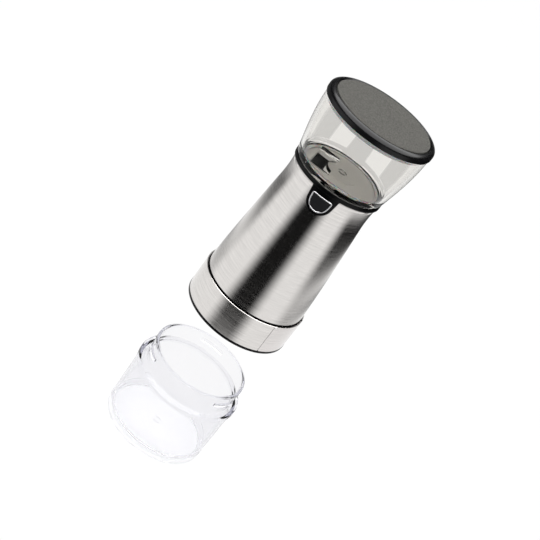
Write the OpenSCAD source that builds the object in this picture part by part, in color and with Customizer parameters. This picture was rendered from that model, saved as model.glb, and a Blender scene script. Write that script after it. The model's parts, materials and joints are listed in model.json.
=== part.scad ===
// Electric spice grinder: a motorised mill with a clear hopper on top, and a clear jar
// that twists into the foot of the mill. The jar stands on the floor, unlocked and drawn
// clear of the mill. The origin is the centre of the jar's foot, +Z is up along the axis,
// the front, where the button is, faces -Y.

/* [Jar] */
// Height of the jar from its foot to its rim
jar_h = 57.3; // [48:0.1:75]
// How far the foot ring lies inside the jar's side
jar_foot_in = 0.4; // [0.4:0.1:1.6]
// Height of the thick foot ring
jar_foot_h = 4.6; // [3:0.1:8]
// How far the shoulder ring stands out past the mill's band
shoulder_over = 1.6; // [0:0.1:2.4]
// How far the jar's side lies inside its shoulder ring
jar_side_in = 0.8; // [0.4:0.1:1.6]
// Height of the shoulder ring
shoulder_h = 3.4; // [2:0.1:5]
// Wall of the jar
jar_wall = 1.8; // [1.2:0.1:3]
// Thickness of the jar's floor
jar_floor = 3.2; // [2:0.1:5]
// Height of the neck above the shoulder ring
neck_h = 13.6; // [12:0.1:16]
// How far a lug stands out of the neck
lug_out = 1.0; // [0.6:0.1:1.4]
// Height of a lug
lug_h = 2.0; // [1.2:0.1:3]
// Arc of a lug, in degrees
lug_arc = 30; // [15:1:34]
// Depth of a lug's top below the rim
lug_drop = 4.4; // [3.6:0.1:6]
// Turn that locks the jar, in degrees
lock_turn = 40; // [20:1:45]
// Thickness of the silicone ring on the jar's rim
seal_h = 0.9; // [0.6:0.1:2]
// Gap between the drawn jar and the mill
jar_gap = 42; // [20:0.5:44]

/* [Foot of the mill] */
// Outer radius of the steel band
band_r = 33.6; // [30:0.1:42]
// Height from the bottom of the mill to the top of the band
band_h = 21.6; // [19:0.1:30]
// Height of the black rim under the band
rim_h = 1.2; // [0.8:0.1:2]
// How far the black rim lies inside the band
rim_in = 0.3; // [0.1:0.05:0.5]
// Bevel of the band's edges
band_edge = 0.4; // [0.2:0.05:0.5]
// Thickness of the steel skins
skin_t = 0.7; // [0.5:0.05:1]
// Wall left in the socket behind a lug slot
slot_wall = 0.4; // [0.4:0.05:1]
// Arc of the closing panel in the band, in degrees
panel_arc = 48; // [20:1:60]
// Direction of the middle of the panel, in degrees from +X
panel_dir = -24; // [-60:1:0]
// Radius of the panel's corners
panel_corner = 1.6; // [0.8:0.1:3]
// Dark joint between the band and the sleeve
joint_h = 1.0; // [0.4:0.1:2]

/* [Body] */
// Height of the steel sleeve
sleeve_h = 85.2; // [80:0.1:110]
// How far the sleeve's foot lies inside the band
sleeve_inset = 1.2; // [0:0.1:1.4]
// How much the sleeve tapers in from its foot to its top, before the flare
sleeve_taper = 6.6; // [4:0.1:6.8]
// How far the sleeve's side bellies out between its ends
sleeve_belly = 0.46; // [0:0.01:1]
// Height of the flare that turns out to the collar
flare_h = 17.2; // [10:0.1:30]
// How far the flare turns out
flare_out = 1.9; // [1.6:0.1:2.4]
// Wall of the chassis inside the sleeve
chassis_t = 1.6; // [1.2:0.1:2]

/* [Button] */
// Radius of the round part of the button
button_r = 5.3; // [4.5:0.1:6]
// Height of the button's flat top edge above its centre
button_flat = 2.8; // [2:0.1:3.2]
// Outward lean of the button's straight sides, in degrees
side_lean = 7.5; // [0:0.5:10]
// Width of the silver trim
trim_w = 0.7; // [0.3:0.05:0.8]
// Black border round the trim
button_border = 1.7; // [0.8:0.1:2]
// Depth of the button's centre below the top of the sleeve
button_drop = 6.5; // [6:0.1:8]
// Travel of the button
button_travel = 1.2; // [0.6:0.1:1.5]

/* [Hopper] */
// Outer radius of the collar
collar_r = 28.6; // [28.4:0.1:31]
// Height of the collar
collar_h = 2.6; // [2:0.1:5]
// Height of the clear hopper
hopper_h = 37.9; // [30:0.1:50]
// Outer radius of the hopper at its mouth
hopper_r = 33.9; // [31:0.1:36]
// Outer radius of the hopper at its foot
hopper_foot_r = 28.4; // [27.4:0.1:30]
// Wall of the hopper
hopper_wall = 2.2; // [1.6:0.1:3]
// Thickness of the hopper's floor
hopper_floor = 2.0; // [1.5:0.1:3]
// Radius of the recess in the hopper's floor
floor_r = 24.6; // [23.8:0.1:25]
// Width of the feed port, measured along X
port_w = 12; // [10:0.5:12]
// Length of the feed port
port_l = 26; // [20:0.5:28]
// Distance of the port's outer edge from the axis
port_out = 18; // [17:0.5:18.5]

/* [Lid] */
// Outer radius of the lid
lid_r = 34.6; // [34.2:0.1:38]
// Height of the lid
lid_h = 5.0; // [4:0.1:8]
// Width of the lid's rounded shoulder
lid_shoulder = 1.8; // [1:0.1:3]
// Depth of the pad's seat in the lid
pad_t = 1.0; // [0.6:0.1:1.6]
// Height of the seal under the lid
lid_seal_h = 2.6; // [2:0.1:5]

/* [Drive] */
// Radius of the motor can
motor_r = 8.9; // [8:0.1:8.9]
// Length of the motor can
motor_l = 27; // [22:0.5:27]
// Radius of the grey cover over the motor
cover_r = 9.6; // [9.6:0.1:9.9]
// Gear module of the planetary stages
gear_m = 0.5; // [0.45:0.01:0.5]
// Teeth of a sun gear
sun_z = 9; // [9]
// Teeth of a planet gear
planet_z = 12; // [12]
// Radius of the gearbox
gearbox_r = 10.2; // [10:0.1:10.2]
// Radius of the drive shaft
shaft_r = 2.5; // [2:0.1:2.5]
// Radius of a planet's pin
pin_r = 0.75; // [0.5:0.05:0.9]
// Face width of the gears
gear_w = 3.4; // [2.5:0.1:3.4]

/* [Burrs] */
// Outer radius of the ring burr
ring_burr_r = 15.2; // [14:0.1:16]
// Height of the ring burr
ring_burr_h = 11; // [8:0.5:11]
// Largest radius of the inner burr
cone_burr_r = 11.4; // [10:0.1:11.5]
// Number of grooves in each burr
burr_grooves = 12; // [8:1:14]
// How far the adjuster lifts the ring burr
burr_lift = 0.8; // [0.4:0.1:1]
// Outer radius of the grinding chamber
chamber_r = 24.6; // [24.4:0.1:24.8]

/* [Power] */
// Radius of a battery cell
cell_r = 5.25; // [5:0.05:5.25]
// Length of a battery cell
cell_l = 44.5; // [40:0.5:44.5]
// Distance of the cells from the axis
cell_out = 17; // [16.6:0.1:17.2]
// Angle between neighbouring cells, in degrees
cell_step = 40; // [38:1:44]

/* [Fits] */
// Radial clearance of a steel skin over the plastic under it
skin_fit = 0.05; // [0.02:0.01:0.1]
// Radial clearance between the jar's neck and its socket
jar_fit = 0.4; // [0.3:0.05:0.6]
// Clearance of covers and frames against their neighbours
cover_fit = 0.25; // [0.15:0.05:0.4]
// Clearance of pieces that slide or turn on each other
slide_fit = 0.12; // [0.08:0.01:0.2]
// Radial clearance of shafts and pins in their bores
bore_fit = 0.05; // [0.02:0.01:0.1]
// Space left under a piece that is seated by hand
seat_gap = 0.1; // [0.05:0.05:0.3]

/* [Hidden] */
$fn = 96;
eps = 0.01;
far = 60;

// Foot of the mill and the neck that fits it
mill_z = jar_h + seal_h + jar_gap;
socket_r_out = band_r - skin_t - skin_fit;
slot_r = socket_r_out - slot_wall;
lug_r = slot_r - jar_fit;
neck_r = lug_r - lug_out;
socket_r = neck_r + jar_fit;
neck_in_r = neck_r - jar_wall;
shoulder_r = band_r + shoulder_over;
shoulder_z = jar_h - neck_h;
jar_side_r = shoulder_r - jar_side_in;
jar_foot_r = jar_side_r - jar_foot_in;
foot_recess = 0.5;
foot_ring_in = 1.2;
foot_ring_r = jar_foot_r - foot_ring_in;
foot_ring_w = 1.2;
foot_bevel_w = 0.3;
foot_bevel_h = 1.4;
side_draft = 0.6;
floor_corner = 2.4;
jar_edge = 0.5;
rim_ring = 3.2;
neck_cut = 0.4;
seal_in = 0.2;
jar_travel = mill_z - shoulder_z - seat_gap;
ceiling_z = neck_h + seal_h;
ceiling_t = 2.0;
lug_entry = 4;
lug_angles = [90, 210, 330];
lug_z = jar_h - lug_drop - lug_h;
lug_seat_z = lug_z + jar_travel - mill_z;
slot_fit = 0.3;
panel_w = 2 * band_r * sin(panel_arc / 2);
panel_seam = 0.25;
flange_step = 0.2;
flange_lap = 3;

// Body
sleeve_z = band_h + joint_h;
sleeve_top = sleeve_z + sleeve_h;
sleeve_foot_r = band_r - sleeve_inset;
sleeve_steps = 24;
chassis_top = sleeve_top - seat_gap;
button_z = sleeve_top - button_drop;
trim_hole_r = button_r + trim_w + slide_fit;
trim_hole_flat = button_flat + trim_w + slide_fit;
tab_r = trim_hole_r + button_border;
tab_t = 2.2;
tab_fit = 0.15;
tab_face_r = sleeve_r(sleeve_top) + 0.1;
tab_back_r = tab_face_r - tab_t;
trim_proud = 0.25;
trim_seat = 0.4;
lip_gap = 0.2;
lip_out = 1.2;
button_proud = 0.1;
button_back_r = tab_back_r - lip_gap;
button_lip = 0.8;
arc_steps = 24;
waist_in_r = min([for (i = [0:sleeve_steps]) chassis_in_r(sleeve_z + sleeve_h * i / sleeve_steps)]);

// Deck, collar and hopper
collar_top = sleeve_top + collar_h;
deck_r = floor_r + 0.4;
deck_z = chassis_top;
deck_t = 2.2;
hopper_top = collar_top + hopper_h;
deck_step = 0.5;
deck_land = 0.6;
gasket_in = 0.3;
gasket_w = 1.9;
foot_edge = 0.4;
floor_fillet_w = 0.5;
floor_fillet_h = 0.9;
floor_step = 2.4;
gate_r = 2.3;
gate_h = 0.4;
gate_w = 0.6;

// Lid
lid_z = hopper_top;
lid_top = lid_z + lid_h;
pad_groove = 0.3;
pad_fit = 0.1;
pad_edge = 0.25;
pad_r = lid_r - lid_shoulder - pad_groove;
lid_edge = 0.3;
lid_web = 1.6;
plug_gap = 0.9;
plug_wall = 2.2;
lid_plug_r = hopper_r - hopper_wall - plug_gap;
lid_seal_gap = 0.35;
lid_seal_drop = 0.6;

// Drive, from the top down
cover_t = 1.6;
cover_top = collar_top - 2 * seat_gap;
cover_skirt = 10;
cover_wall = 0.5;
end_cap_h = 2.2;
motor_top = cover_top - cover_t - end_cap_h - 0.9;
motor_z = motor_top - motor_l;
plate_t = 2.0;
plate_z = motor_z - plate_t;
ring_z = 2 * planet_z + sun_z;
planet_orbit = gear_m * (sun_z + planet_z) / 2;
tooth_add = 0.8;
tooth_ded = 1.2;
tip_half = 0.09;
root_half = 0.27;
ring_root_half = 0.25;
planet_angles = [0, 120, 240];
stage_gap = 0.2;
carrier_t = 1.8;
carrier_r = planet_orbit + pin_r + 0.6;
planet1_z = plate_z - 3 * stage_gap - gear_w;
carrier1_z = planet1_z - stage_gap - carrier_t;
planet2_z = carrier1_z - 2 * stage_gap - gear_w;
carrier2_z = planet2_z - stage_gap - carrier_t;
gear_floor_z = carrier2_z - 2 * stage_gap;
carrier_floor = 0.4;
frame_z = ceiling_z + ceiling_t + 17;
frame_t = 2.5;
gearbox_z = frame_z + frame_t;
bush_r = shaft_r + 2;
bush_h = 4;
upper_bush_z = gear_floor_z - bush_h;
lower_bush_z = gearbox_z;
magnet_t = 1.3;
can_t = 0.6;
armature_r = motor_r - can_t - magnet_t - 0.6;
motor_shaft_r = 1.0;
shaft_stub = 0.8;
can_floor = 1.0;
cap_spigot = 1.0;
terminal_out = 5.5;
terminal_w = 2.4;
terminal_t = 0.6;
terminal_h = 0.8;
magnet_arc = 140;
magnet_low = 4;
coil_end = 5;
coil_slots = 3;
coil_slot_d = 2;
coil_slot_w = 1.2;
motor_screw_out = 6;
motor_screw_r = 0.8;
motor_screw_l = 0.9;
boss_r = 3.0;
shaft_clear = 0.6;
shaft_end = 0.6;
chute_t = 1.0;
chute_in_r = gearbox_r + 0.4;
chute_gap = 0.3;
chute_z = frame_z;

// Burrs
chamber_t = 1.6;
screw_boss_r = 2.9;
boss_out = chamber_r - chamber_t / 2 + 2.3;
chamber_rim = 4;
holder_gap = 0.2;
holder_over = 1.2;
frame_boss_h = 8;
flange_in_r = boss_out + screw_boss_r + cover_fit;
base_boss_h = 7;
screw_l = 5;
frame_screw_angles = [60, 270, 345];
frame_screw_r = 1.1;
frame_head_r = 2.0;
screw_end = 0.5;
base_screw_angles = [30, 150, 270];
base_screw_r = 1.3;
base_head_r = 2.2;
holder_r = ring_burr_r + 2.3;
holder_z = ceiling_z - 6.0;
ring_burr_z = holder_z;
ring_burr_top_r = ring_burr_r - 1.2;
ring_burr_throat_r = cone_burr_r + 0.7;
cone_burr_z = ring_burr_z + 1;
cone_burr_h = ring_burr_h + 2;
cone_burr_top_r = 5.2;
cone_edge = 1.5;
burr_slope = (cone_burr_r - cone_burr_top_r) / (cone_burr_h - cone_edge);
burr_edge = cone_burr_z - ring_burr_z + cone_edge;
grind_h = 6;
adjuster_r = holder_r + 2.2;
adjuster_lip = 2.0;
adjuster_h = 5.6;
adjuster_z = holder_z - adjuster_lip - seat_gap;
adjuster_in_r = ring_burr_throat_r + 0.6;
grip_count = 18;
grip_r = 0.7;
grip_in = 0.2;
nut_h = 2.4;
nut_r = 4.2;
nut_z = cone_burr_z - nut_h;
groove_w = 1.1;
groove_d = 0.5;
cone_foot_in = 0.6;

// Power
cradle_t = 1.2;
contact_t = 0.4;
contact_r = 3.2;
cell_cap_h = 1;
cell_cap_r = 1.8;
cell_z = gearbox_z + cradle_t + contact_t;
cradle_in_r = cell_out - cell_r - 0.2;
cradle_out_r = cell_out + cell_r + 1.5;
cradle_half = cell_step + 18;
cradle_top = cell_z + cell_l + contact_t + cradle_t;
cell_angles = [-cell_step, 0, cell_step];
board_t = 1.6;
board_y = -16.6;
board_w = 30;
board_h = 18;
board_z = deck_z - 0.8 - board_h;
board_fit = 0.1;
rail_half = 1.6;
rail_w = 8;
rail_lap = 2;
switch_w = 6;
switch_d = 3.5;
plunger_r = 1.2;
plunger_in = 0.6;
plunger_clear = 0.6;
stem_r = 1.8;
stem_l = 0.6;
stem_end_r = button_back_r - button_lip - stem_l;
switch_face_r = switch_d + board_t / 2 - board_y;
port_z = sleeve_z + 9;
socket_w = 9.0;
socket_h = 3.2;
socket_lap = 2;
socket_back_r = chamber_r + cover_fit;
socket_d = chassis_in_r(port_z) + socket_lap - socket_back_r;
socket_floor = 2;
socket_wall = 0.4;
port_reveal = 0.35;
port_fit = 0.2;

// Radius of the sleeve's outside at a height z above the bottom of the mill
function sleeve_r(z) =
  let (t = (z - sleeve_z) / sleeve_h, flare = max(0, (z - sleeve_top + flare_h) / flare_h))
  sleeve_foot_r - sleeve_taper * t + sleeve_belly * 4 * t * (1 - t) + flare_out * flare * flare;

// Radius of the chassis's outside and inside at a height z
function chassis_r(z) = sleeve_r(z) - skin_t - cover_fit;
function chassis_in_r(z) = chassis_r(z) - chassis_t;

// Radius of the hopper's outside at a height z above the collar's top
function hopper_r_at(z) = hopper_foot_r + (hopper_r - hopper_foot_r) * sin(90 * z / hopper_h);

// A tube from z0 to z1
module tube(r_out, r_in, z0, z1) {
  translate([0, 0, z0])
    difference() {
      cylinder(r = r_out, h = z1 - z0);
      translate([0, 0, -1])
        cylinder(r = r_in, h = z1 - z0 + 2);
    }
}

// A disc from z0 to z1
module disc(r, z0, z1) {
  translate([0, 0, z0])
    cylinder(r = r, h = z1 - z0);
}

// A piece of a tube, over an arc that starts at the angle a0
module tube_arc(r_out, r_in, z0, z1, a0, arc) {
  rotate([0, 0, a0])
    rotate_extrude(angle = arc)
      translate([r_in, z0])
        square([r_out - r_in, z1 - z0]);
}

// A shell between two radius profiles, turned about the axis: heights, outer and inner radii
module turned_shell(heights, outer, inner) {
  n = len(heights) - 1;
  rotate_extrude()
    polygon(concat(
      [for (i = [0:n]) [outer[i], heights[i]]],
      [for (i = [n:-1:0]) [inner[i], heights[i]]]
    ));
}

// A shield in the XZ plane, drawn out along -Y: round below, with straight sides that lean
// out to a flat top edge at the given height above the round part's centre
module shield(r, top, depth) {
  corner = (r + top * sin(side_lean)) / cos(side_lean);
  sweep = 180 - 2 * side_lean;
  rotate([90, 0, 0])
    linear_extrude(height = depth)
      polygon(concat(
        [[corner, top]],
        [for (i = [0:arc_steps]) let (a = -side_lean - sweep * i / arc_steps) r * [cos(a), sin(a)]],
        [[-corner, top]]
      ));
}

// A rectangle with round corners, centred, drawn out along +X
module round_bar(w, h, corner, length) {
  rotate([90, 0, 90])
    linear_extrude(height = length)
      union() {
        square([w - 2 * corner, h], center = true);
        square([w, h - 2 * corner], center = true);
        for (x = [-1, 1], y = [-1, 1])
          translate([x * (w / 2 - corner), y * (h / 2 - corner)])
            circle(r = corner, $fn = 32);
      }
}

// Outline of a gear with straight-sided teeth, one tooth on +X. The half widths of a tooth
// at its root and tip are shares of the pitch, its height above and below the pitch circle
// is in gear modules.
module gear_outline(teeth) {
  pitch = 360 / teeth;
  tip_r = gear_m * (teeth / 2 + tooth_add);
  root_r = gear_m * (teeth / 2 - tooth_ded);
  polygon([
    for (i = [0:teeth - 1], p = [[-root_half, root_r], [-tip_half, tip_r],
                                 [tip_half, tip_r], [root_half, root_r]])
      p[1] * [cos(pitch * (i + p[0])), sin(pitch * (i + p[0]))]
  ]);
}

// Outline of the hole in the internal gear, with one tooth on +X
module ring_outline() {
  pitch = 360 / ring_z;
  tip_r = gear_m * (ring_z / 2 - tooth_add);
  root_r = gear_m * (ring_z / 2 + tooth_ded);
  polygon([
    for (i = [0:ring_z - 1], p = [[-ring_root_half, root_r], [-tip_half, tip_r],
                                  [tip_half, tip_r], [ring_root_half, root_r]])
      p[1] * [cos(pitch * (i + p[0])), sin(pitch * (i + p[0]))]
  ]);
}

// Outline of the feed port: a window beside the round motor cover
module port_outline(grow, inner_r) {
  difference() {
    translate([-port_out - grow, -port_l / 2 - grow])
      square([port_w + 2 * grow, port_l + 2 * grow]);
    circle(r = inner_r);
  }
}

// A pan-head screw with its head's underside at the origin and its shank along -Z
module screw(shank_r, head_r, length) {
  head_h = head_r * 0.7;
  difference() {
    union() {
      cylinder(r = head_r, h = head_h, $fn = 32);
      translate([0, 0, -length])
        cylinder(r = shank_r, h = length + eps, $fn = 24);
    }
    for (a = [0, 90])
      rotate([0, 0, a])
        translate([-head_r * 0.6, -head_r * 0.13, head_h - head_r * 0.35])
          cube([head_r * 1.2, head_r * 0.26, head_r]);
  }
}

// Lid
module lid_cap() {
  color("#2b2b2c")
    translate([0, 0, mill_z])
      rotate_extrude()
        polygon([
          [0, lid_top - pad_t - lid_web],
          [lid_plug_r - plug_wall, lid_top - pad_t - lid_web],
          [lid_plug_r - plug_wall, lid_z - lid_seal_h],
          [lid_plug_r, lid_z - lid_seal_h],
          [lid_plug_r, lid_z + seat_gap],
          [lid_r - lid_edge, lid_z + seat_gap],
          [lid_r, lid_z + seat_gap + lid_edge],
          [lid_r, lid_top - lid_shoulder],
          for (a = [15:15:75])
            [lid_r - lid_shoulder * (1 - cos(a)), lid_top - lid_shoulder * (1 - sin(a))],
          [lid_r - lid_shoulder, lid_top],
          [pad_r + pad_fit, lid_top - pad_t],
          [0, lid_top - pad_t]
        ]);
}

module lid_pad() {
  color("#6b6a68")
    translate([0, 0, mill_z])
      rotate_extrude()
        polygon([
          [0, lid_top - pad_t],
          [pad_r, lid_top - pad_t],
          [pad_r, lid_top - pad_edge],
          [pad_r - pad_edge, lid_top],
          [0, lid_top]
        ]);
}

module lid_seal() {
  color("#e9e9ea")
    translate([0, 0, mill_z])
      tube(hopper_r - hopper_wall - lid_seal_gap, lid_plug_r, lid_z - lid_seal_h, lid_z - lid_seal_drop);
}

// Hopper
module hopper_cup() {
  steps = 12;
  lip_z = hopper_floor + floor_step;
  color("#e6e8ee", 0.4)
    translate([0, 0, mill_z + collar_top])
      difference() {
        rotate_extrude()
          polygon(concat(
            [[0, 0], [hopper_foot_r - foot_edge, 0]],
            [for (i = [0:steps])
              let (z = foot_edge + (hopper_h - foot_edge) * i / steps) [hopper_r_at(z), z]],
            [for (i = [steps:-1:0])
              let (z = lip_z + (hopper_h - lip_z) * i / steps) [hopper_r_at(z) - hopper_wall, z]],
            [[floor_r + floor_fillet_w, hopper_floor + floor_fillet_h], [floor_r, hopper_floor],
             [0, hopper_floor]]
          ));
        translate([0, 0, -1])
          linear_extrude(height = hopper_floor + 2)
            port_outline(0, cover_r);
        translate([0, 0, hopper_floor - gate_h])
          difference() {
            cylinder(r = gate_r, h = 1, $fn = 48);
            translate([0, 0, -1])
              cylinder(r = gate_r - gate_w, h = 3, $fn = 48);
          }
      }
}

module hopper_gasket() {
  color("#d8d8da")
    translate([0, 0, mill_z])
      tube(deck_r - gasket_in, deck_r - gasket_in - gasket_w, deck_z + deck_t, collar_top);
}

// Collar with the tab that frames the button
module collar_panel() {
  color("#161617")
    translate([0, 0, mill_z])
      difference() {
        union() {
          tube(collar_r, deck_r + seat_gap, sleeve_top, collar_top);
          intersection() {
            tube(tab_face_r, tab_back_r, sleeve_top - far, sleeve_top + eps);
            translate([0, 0, button_z])
              shield(tab_r, far, far);
          }
        }
        translate([0, 0, button_z])
          shield(trim_hole_r, trim_hole_flat, far);
      }
}

module button_trim() {
  color("#d9dadc")
    translate([0, 0, mill_z])
      intersection() {
        tube(tab_face_r + trim_proud, tab_back_r + trim_seat, 0, sleeve_top);
        translate([0, 0, button_z])
          difference() {
            shield(trim_hole_r - eps, trim_hole_flat - eps, far);
            translate([0, 1, 0])
              shield(button_r + slide_fit, button_flat + slide_fit, far + 2);
          }
      }
}

module push_button() {
  color("#39393a")
    translate([0, 0, mill_z])
      union() {
        intersection() {
          tube(tab_face_r + button_proud, button_back_r - button_lip, 0, sleeve_top + far);
          translate([0, 0, button_z])
            shield(button_r, button_flat, far);
        }
        intersection() {
          tube(button_back_r, button_back_r - button_lip, 0, sleeve_top + far);
          translate([0, 0, button_z])
            shield(button_r + lip_out, button_flat + lip_out, far);
        }
        translate([0, -stem_end_r, button_z])
          rotate([90, 0, 0])
            cylinder(r = stem_r, h = button_back_r - stem_end_r, $fn = 48);
      }
}

module switch_plunger() {
  color("#f0f0f0")
    translate([0, -stem_end_r, mill_z + button_z])
      rotate([-90, 0, 0])
        cylinder(r = plunger_r, h = stem_end_r - switch_face_r + plunger_in, $fn = 48);
}

module micro_switch() {
  color("#202022")
    translate([0, board_y - board_t / 2, mill_z + button_z])
      difference() {
        translate([-switch_w / 2, -switch_d, -switch_w / 2])
          cube([switch_w, switch_d, switch_w]);
        translate([0, -switch_d + plunger_in + button_travel + plunger_clear, 0])
          rotate([90, 0, 0])
            cylinder(r = plunger_r + bore_fit, h = far, $fn = 48);
      }
}

module circuit_board() {
  color("#1f6b3a")
    translate([-board_w / 2, board_y - board_t / 2, mill_z + board_z])
      cube([board_w, board_t, board_h]);
}

// Steel sleeve
module outer_sleeve() {
  heights = [for (i = [0:sleeve_steps]) sleeve_z + sleeve_h * i / sleeve_steps];
  color("#c9c7c5")
    translate([0, 0, mill_z])
      difference() {
        turned_shell(
          heights,
          [for (z = heights) sleeve_r(z)],
          [for (z = heights) sleeve_r(z) - skin_t]
        );
        translate([0, 0, button_z])
          shield(tab_r + tab_fit, far, far);
        port_cut(port_reveal);
      }
}

// The charging port's window at the back, larger all round by grow
module port_cut(grow) {
  w = socket_w + 2 * grow;
  h = socket_h + 2 * grow;
  translate([0, 0, port_z])
    rotate([0, 0, 90])
      round_bar(w, h, h / 2 - eps, far);
}

// Chassis inside the sleeve, with the flange that shows as the dark joint
module inner_chassis() {
  heights = [for (i = [0:sleeve_steps]) sleeve_z + (chassis_top - sleeve_z) * i / sleeve_steps];
  rail_x = board_w / 2;
  color("#1b1b1c")
    translate([0, 0, mill_z])
      difference() {
        union() {
          turned_shell(
            heights,
            [for (z = heights) chassis_r(z)],
            [for (z = heights) chassis_in_r(z)]
          );
          tube(sleeve_foot_r - flange_step, flange_in_r, band_h, sleeve_z);
          tube(chassis_r(sleeve_z + flange_lap), flange_in_r, sleeve_z, sleeve_z + flange_lap);
          intersection() {
            disc(waist_in_r + chassis_t / 2, board_z - 1, chassis_top);
            for (x = [-1, 1])
              translate([x * (rail_x + rail_lap) - rail_w / 2, board_y - rail_half, board_z - 1])
                cube([rail_w, 2 * rail_half, board_h + 1]);
          }
        }
        for (x = [-1, 1])
          translate([x * rail_x - rail_lap, board_y - board_t / 2 - board_fit, board_z])
            cube([2 * rail_lap, board_t + 2 * board_fit, far]);
        translate([0, 0, button_z])
          shield(tab_r + cover_fit, far, far);
        port_cut(port_fit);
      }
}

// Grey deck under the hopper
module deck_plate() {
  color("#8d8d8b")
    translate([0, 0, mill_z])
      difference() {
        disc(deck_r, deck_z, deck_z + deck_t);
        translate([0, 0, deck_z - 1])
          linear_extrude(height = deck_t + 2)
            port_outline(0, 1);
        disc(cover_r + seat_gap, deck_z - 1, deck_z + deck_t + 1);
        for (x = [-1, 1])
          translate([x * (port_out + deck_land + far / 2) - far / 2, -far / 2, deck_z + deck_t - deck_step])
            cube([far, far, 1]);
      }
}

module motor_cover() {
  color("#8a8a88")
    translate([0, 0, mill_z])
      difference() {
        disc(cover_r, cover_top - cover_skirt, cover_top);
        disc(cover_r - cover_wall, cover_top - cover_skirt - 1, cover_top - cover_t);
      }
}

// Black chute from the deck to the grinding chamber
module feed_chute() {
  color("#111112")
    translate([0, 0, mill_z + chute_z])
      linear_extrude(height = deck_z - chute_z)
        difference() {
          intersection() {
            port_outline(chute_t, chute_in_r);
            circle(r = waist_in_r - chute_gap);
          }
          intersection() {
            translate([-port_out, -port_l / 2])
              square([port_w - chute_t, port_l]);
            difference() {
              circle(r = waist_in_r - chute_gap - chute_t);
              circle(r = chute_in_r + chute_t);
            }
          }
        }
}

// Motor
module motor_can() {
  color("#b8b8ba")
    translate([0, 0, mill_z])
      difference() {
        disc(motor_r, motor_z, motor_top);
        disc(motor_r - can_t, motor_z + can_floor, motor_top + 1);
        disc(motor_shaft_r + bore_fit, motor_z - 1, motor_z + 2);
      }
}

module motor_end_cap() {
  color("#222224")
    translate([0, 0, mill_z])
      difference() {
        union() {
          disc(motor_r, motor_top, motor_top + end_cap_h);
          disc(motor_r - can_t - skin_fit, motor_top - cap_spigot, motor_top + eps);
          for (y = [-1, 1])
            translate([-terminal_w / 2, y * terminal_out - terminal_t / 2, motor_top + end_cap_h - eps])
              cube([terminal_w, terminal_t, terminal_h]);
        }
        disc(motor_shaft_r + bore_fit, motor_top - 2, motor_top + 1);
      }
}

module motor_magnets() {
  color("#5a5a5c")
    translate([0, 0, mill_z])
      for (a = [0, 180])
        tube_arc(motor_r - can_t - skin_fit, motor_r - can_t - magnet_t,
                 motor_z + magnet_low, motor_top - coil_end, a + 90 - magnet_arc / 2, magnet_arc);
}

module motor_armature() {
  color("#a8662c")
    translate([0, 0, mill_z])
      difference() {
        disc(armature_r, motor_z + coil_end, motor_top - coil_end);
        disc(motor_shaft_r, motor_z, motor_top);
        for (i = [0:coil_slots - 1])
          rotate([0, 0, i * 360 / coil_slots])
            translate([armature_r - coil_slot_d, -coil_slot_w / 2, motor_z])
              cube([2 * coil_slot_d, coil_slot_w, motor_l]);
      }
}

module motor_pinion() {
  color("#c8b46a")
    translate([0, 0, mill_z])
      union() {
        disc(motor_shaft_r, planet1_z, motor_top + shaft_stub);
        translate([0, 0, planet1_z])
          linear_extrude(height = gear_w)
            gear_outline(sun_z);
      }
}

module motor_plate() {
  color("#2a2a2c")
    translate([0, 0, mill_z])
      difference() {
        disc(gearbox_r, plate_z, motor_z);
        disc(boss_r, plate_z - 1, motor_z + 1);
        for (x = [-1, 1])
          translate([x * motor_screw_out, 0, plate_z - 1])
            cylinder(r = motor_screw_r + bore_fit, h = plate_t + 2, $fn = 32);
      }
}

module motor_screws() {
  color("#9c9c9e")
    translate([0, 0, mill_z])
      for (x = [-1, 1])
        translate([x * motor_screw_out, 0, plate_z])
          cylinder(r = motor_screw_r, h = motor_screw_l, $fn = 32);
}

// Gearbox: a tube with the internal gear at the top and the shaft's bushes below
module gearbox_housing() {
  color("#3a3a3d")
    translate([0, 0, mill_z])
      difference() {
        disc(gearbox_r, gearbox_z, plate_z);
        translate([0, 0, gear_floor_z])
          linear_extrude(height = far)
            ring_outline();
        disc(bush_r, gearbox_z - 1, gear_floor_z + 1);
      }
}

module planet(z, angle) {
  color("#d8c27a")
    translate([0, 0, mill_z + z])
      rotate([0, 0, angle])
        translate([planet_orbit, 0, 0])
          linear_extrude(height = gear_w)
            difference() {
              rotate([0, 0, 180 / planet_z])
                gear_outline(planet_z);
              circle(r = pin_r + bore_fit, $fn = 48);
            }
}

// A carrier's disc with a pin for each planet
module carrier_plate(z) {
  disc(carrier_r, z, z + carrier_t);
  for (a = planet_angles)
    rotate([0, 0, a])
      translate([planet_orbit, 0, z + carrier_t - eps])
        cylinder(r = pin_r, h = gear_w + 2 * stage_gap, $fn = 48);
}

module first_planet_1() planet(planet1_z, planet_angles[0]);
module first_planet_2() planet(planet1_z, planet_angles[1]);
module first_planet_3() planet(planet1_z, planet_angles[2]);
module second_planet_1() planet(planet2_z, planet_angles[0]);
module second_planet_2() planet(planet2_z, planet_angles[1]);
module second_planet_3() planet(planet2_z, planet_angles[2]);

module first_carrier() {
  color("#8f8f93")
    translate([0, 0, mill_z])
      union() {
        carrier_plate(carrier1_z);
        translate([0, 0, planet2_z])
          linear_extrude(height = carrier1_z - planet2_z + eps)
            gear_outline(sun_z);
      }
}

module output_carrier() {
  color("#8f8f93")
    translate([0, 0, mill_z])
      difference() {
        carrier_plate(carrier2_z);
        disc(shaft_r, carrier2_z - 1, carrier2_z + carrier_t - carrier_floor);
      }
}

module drive_shaft() {
  color("#b4b4b8")
    translate([0, 0, mill_z])
      disc(shaft_r, nut_z - shaft_end, carrier2_z + carrier_t - carrier_floor);
}

module upper_bush() {
  color("#b08a4a")
    translate([0, 0, mill_z])
      tube(bush_r, shaft_r + bore_fit, upper_bush_z, upper_bush_z + bush_h);
}

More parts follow.
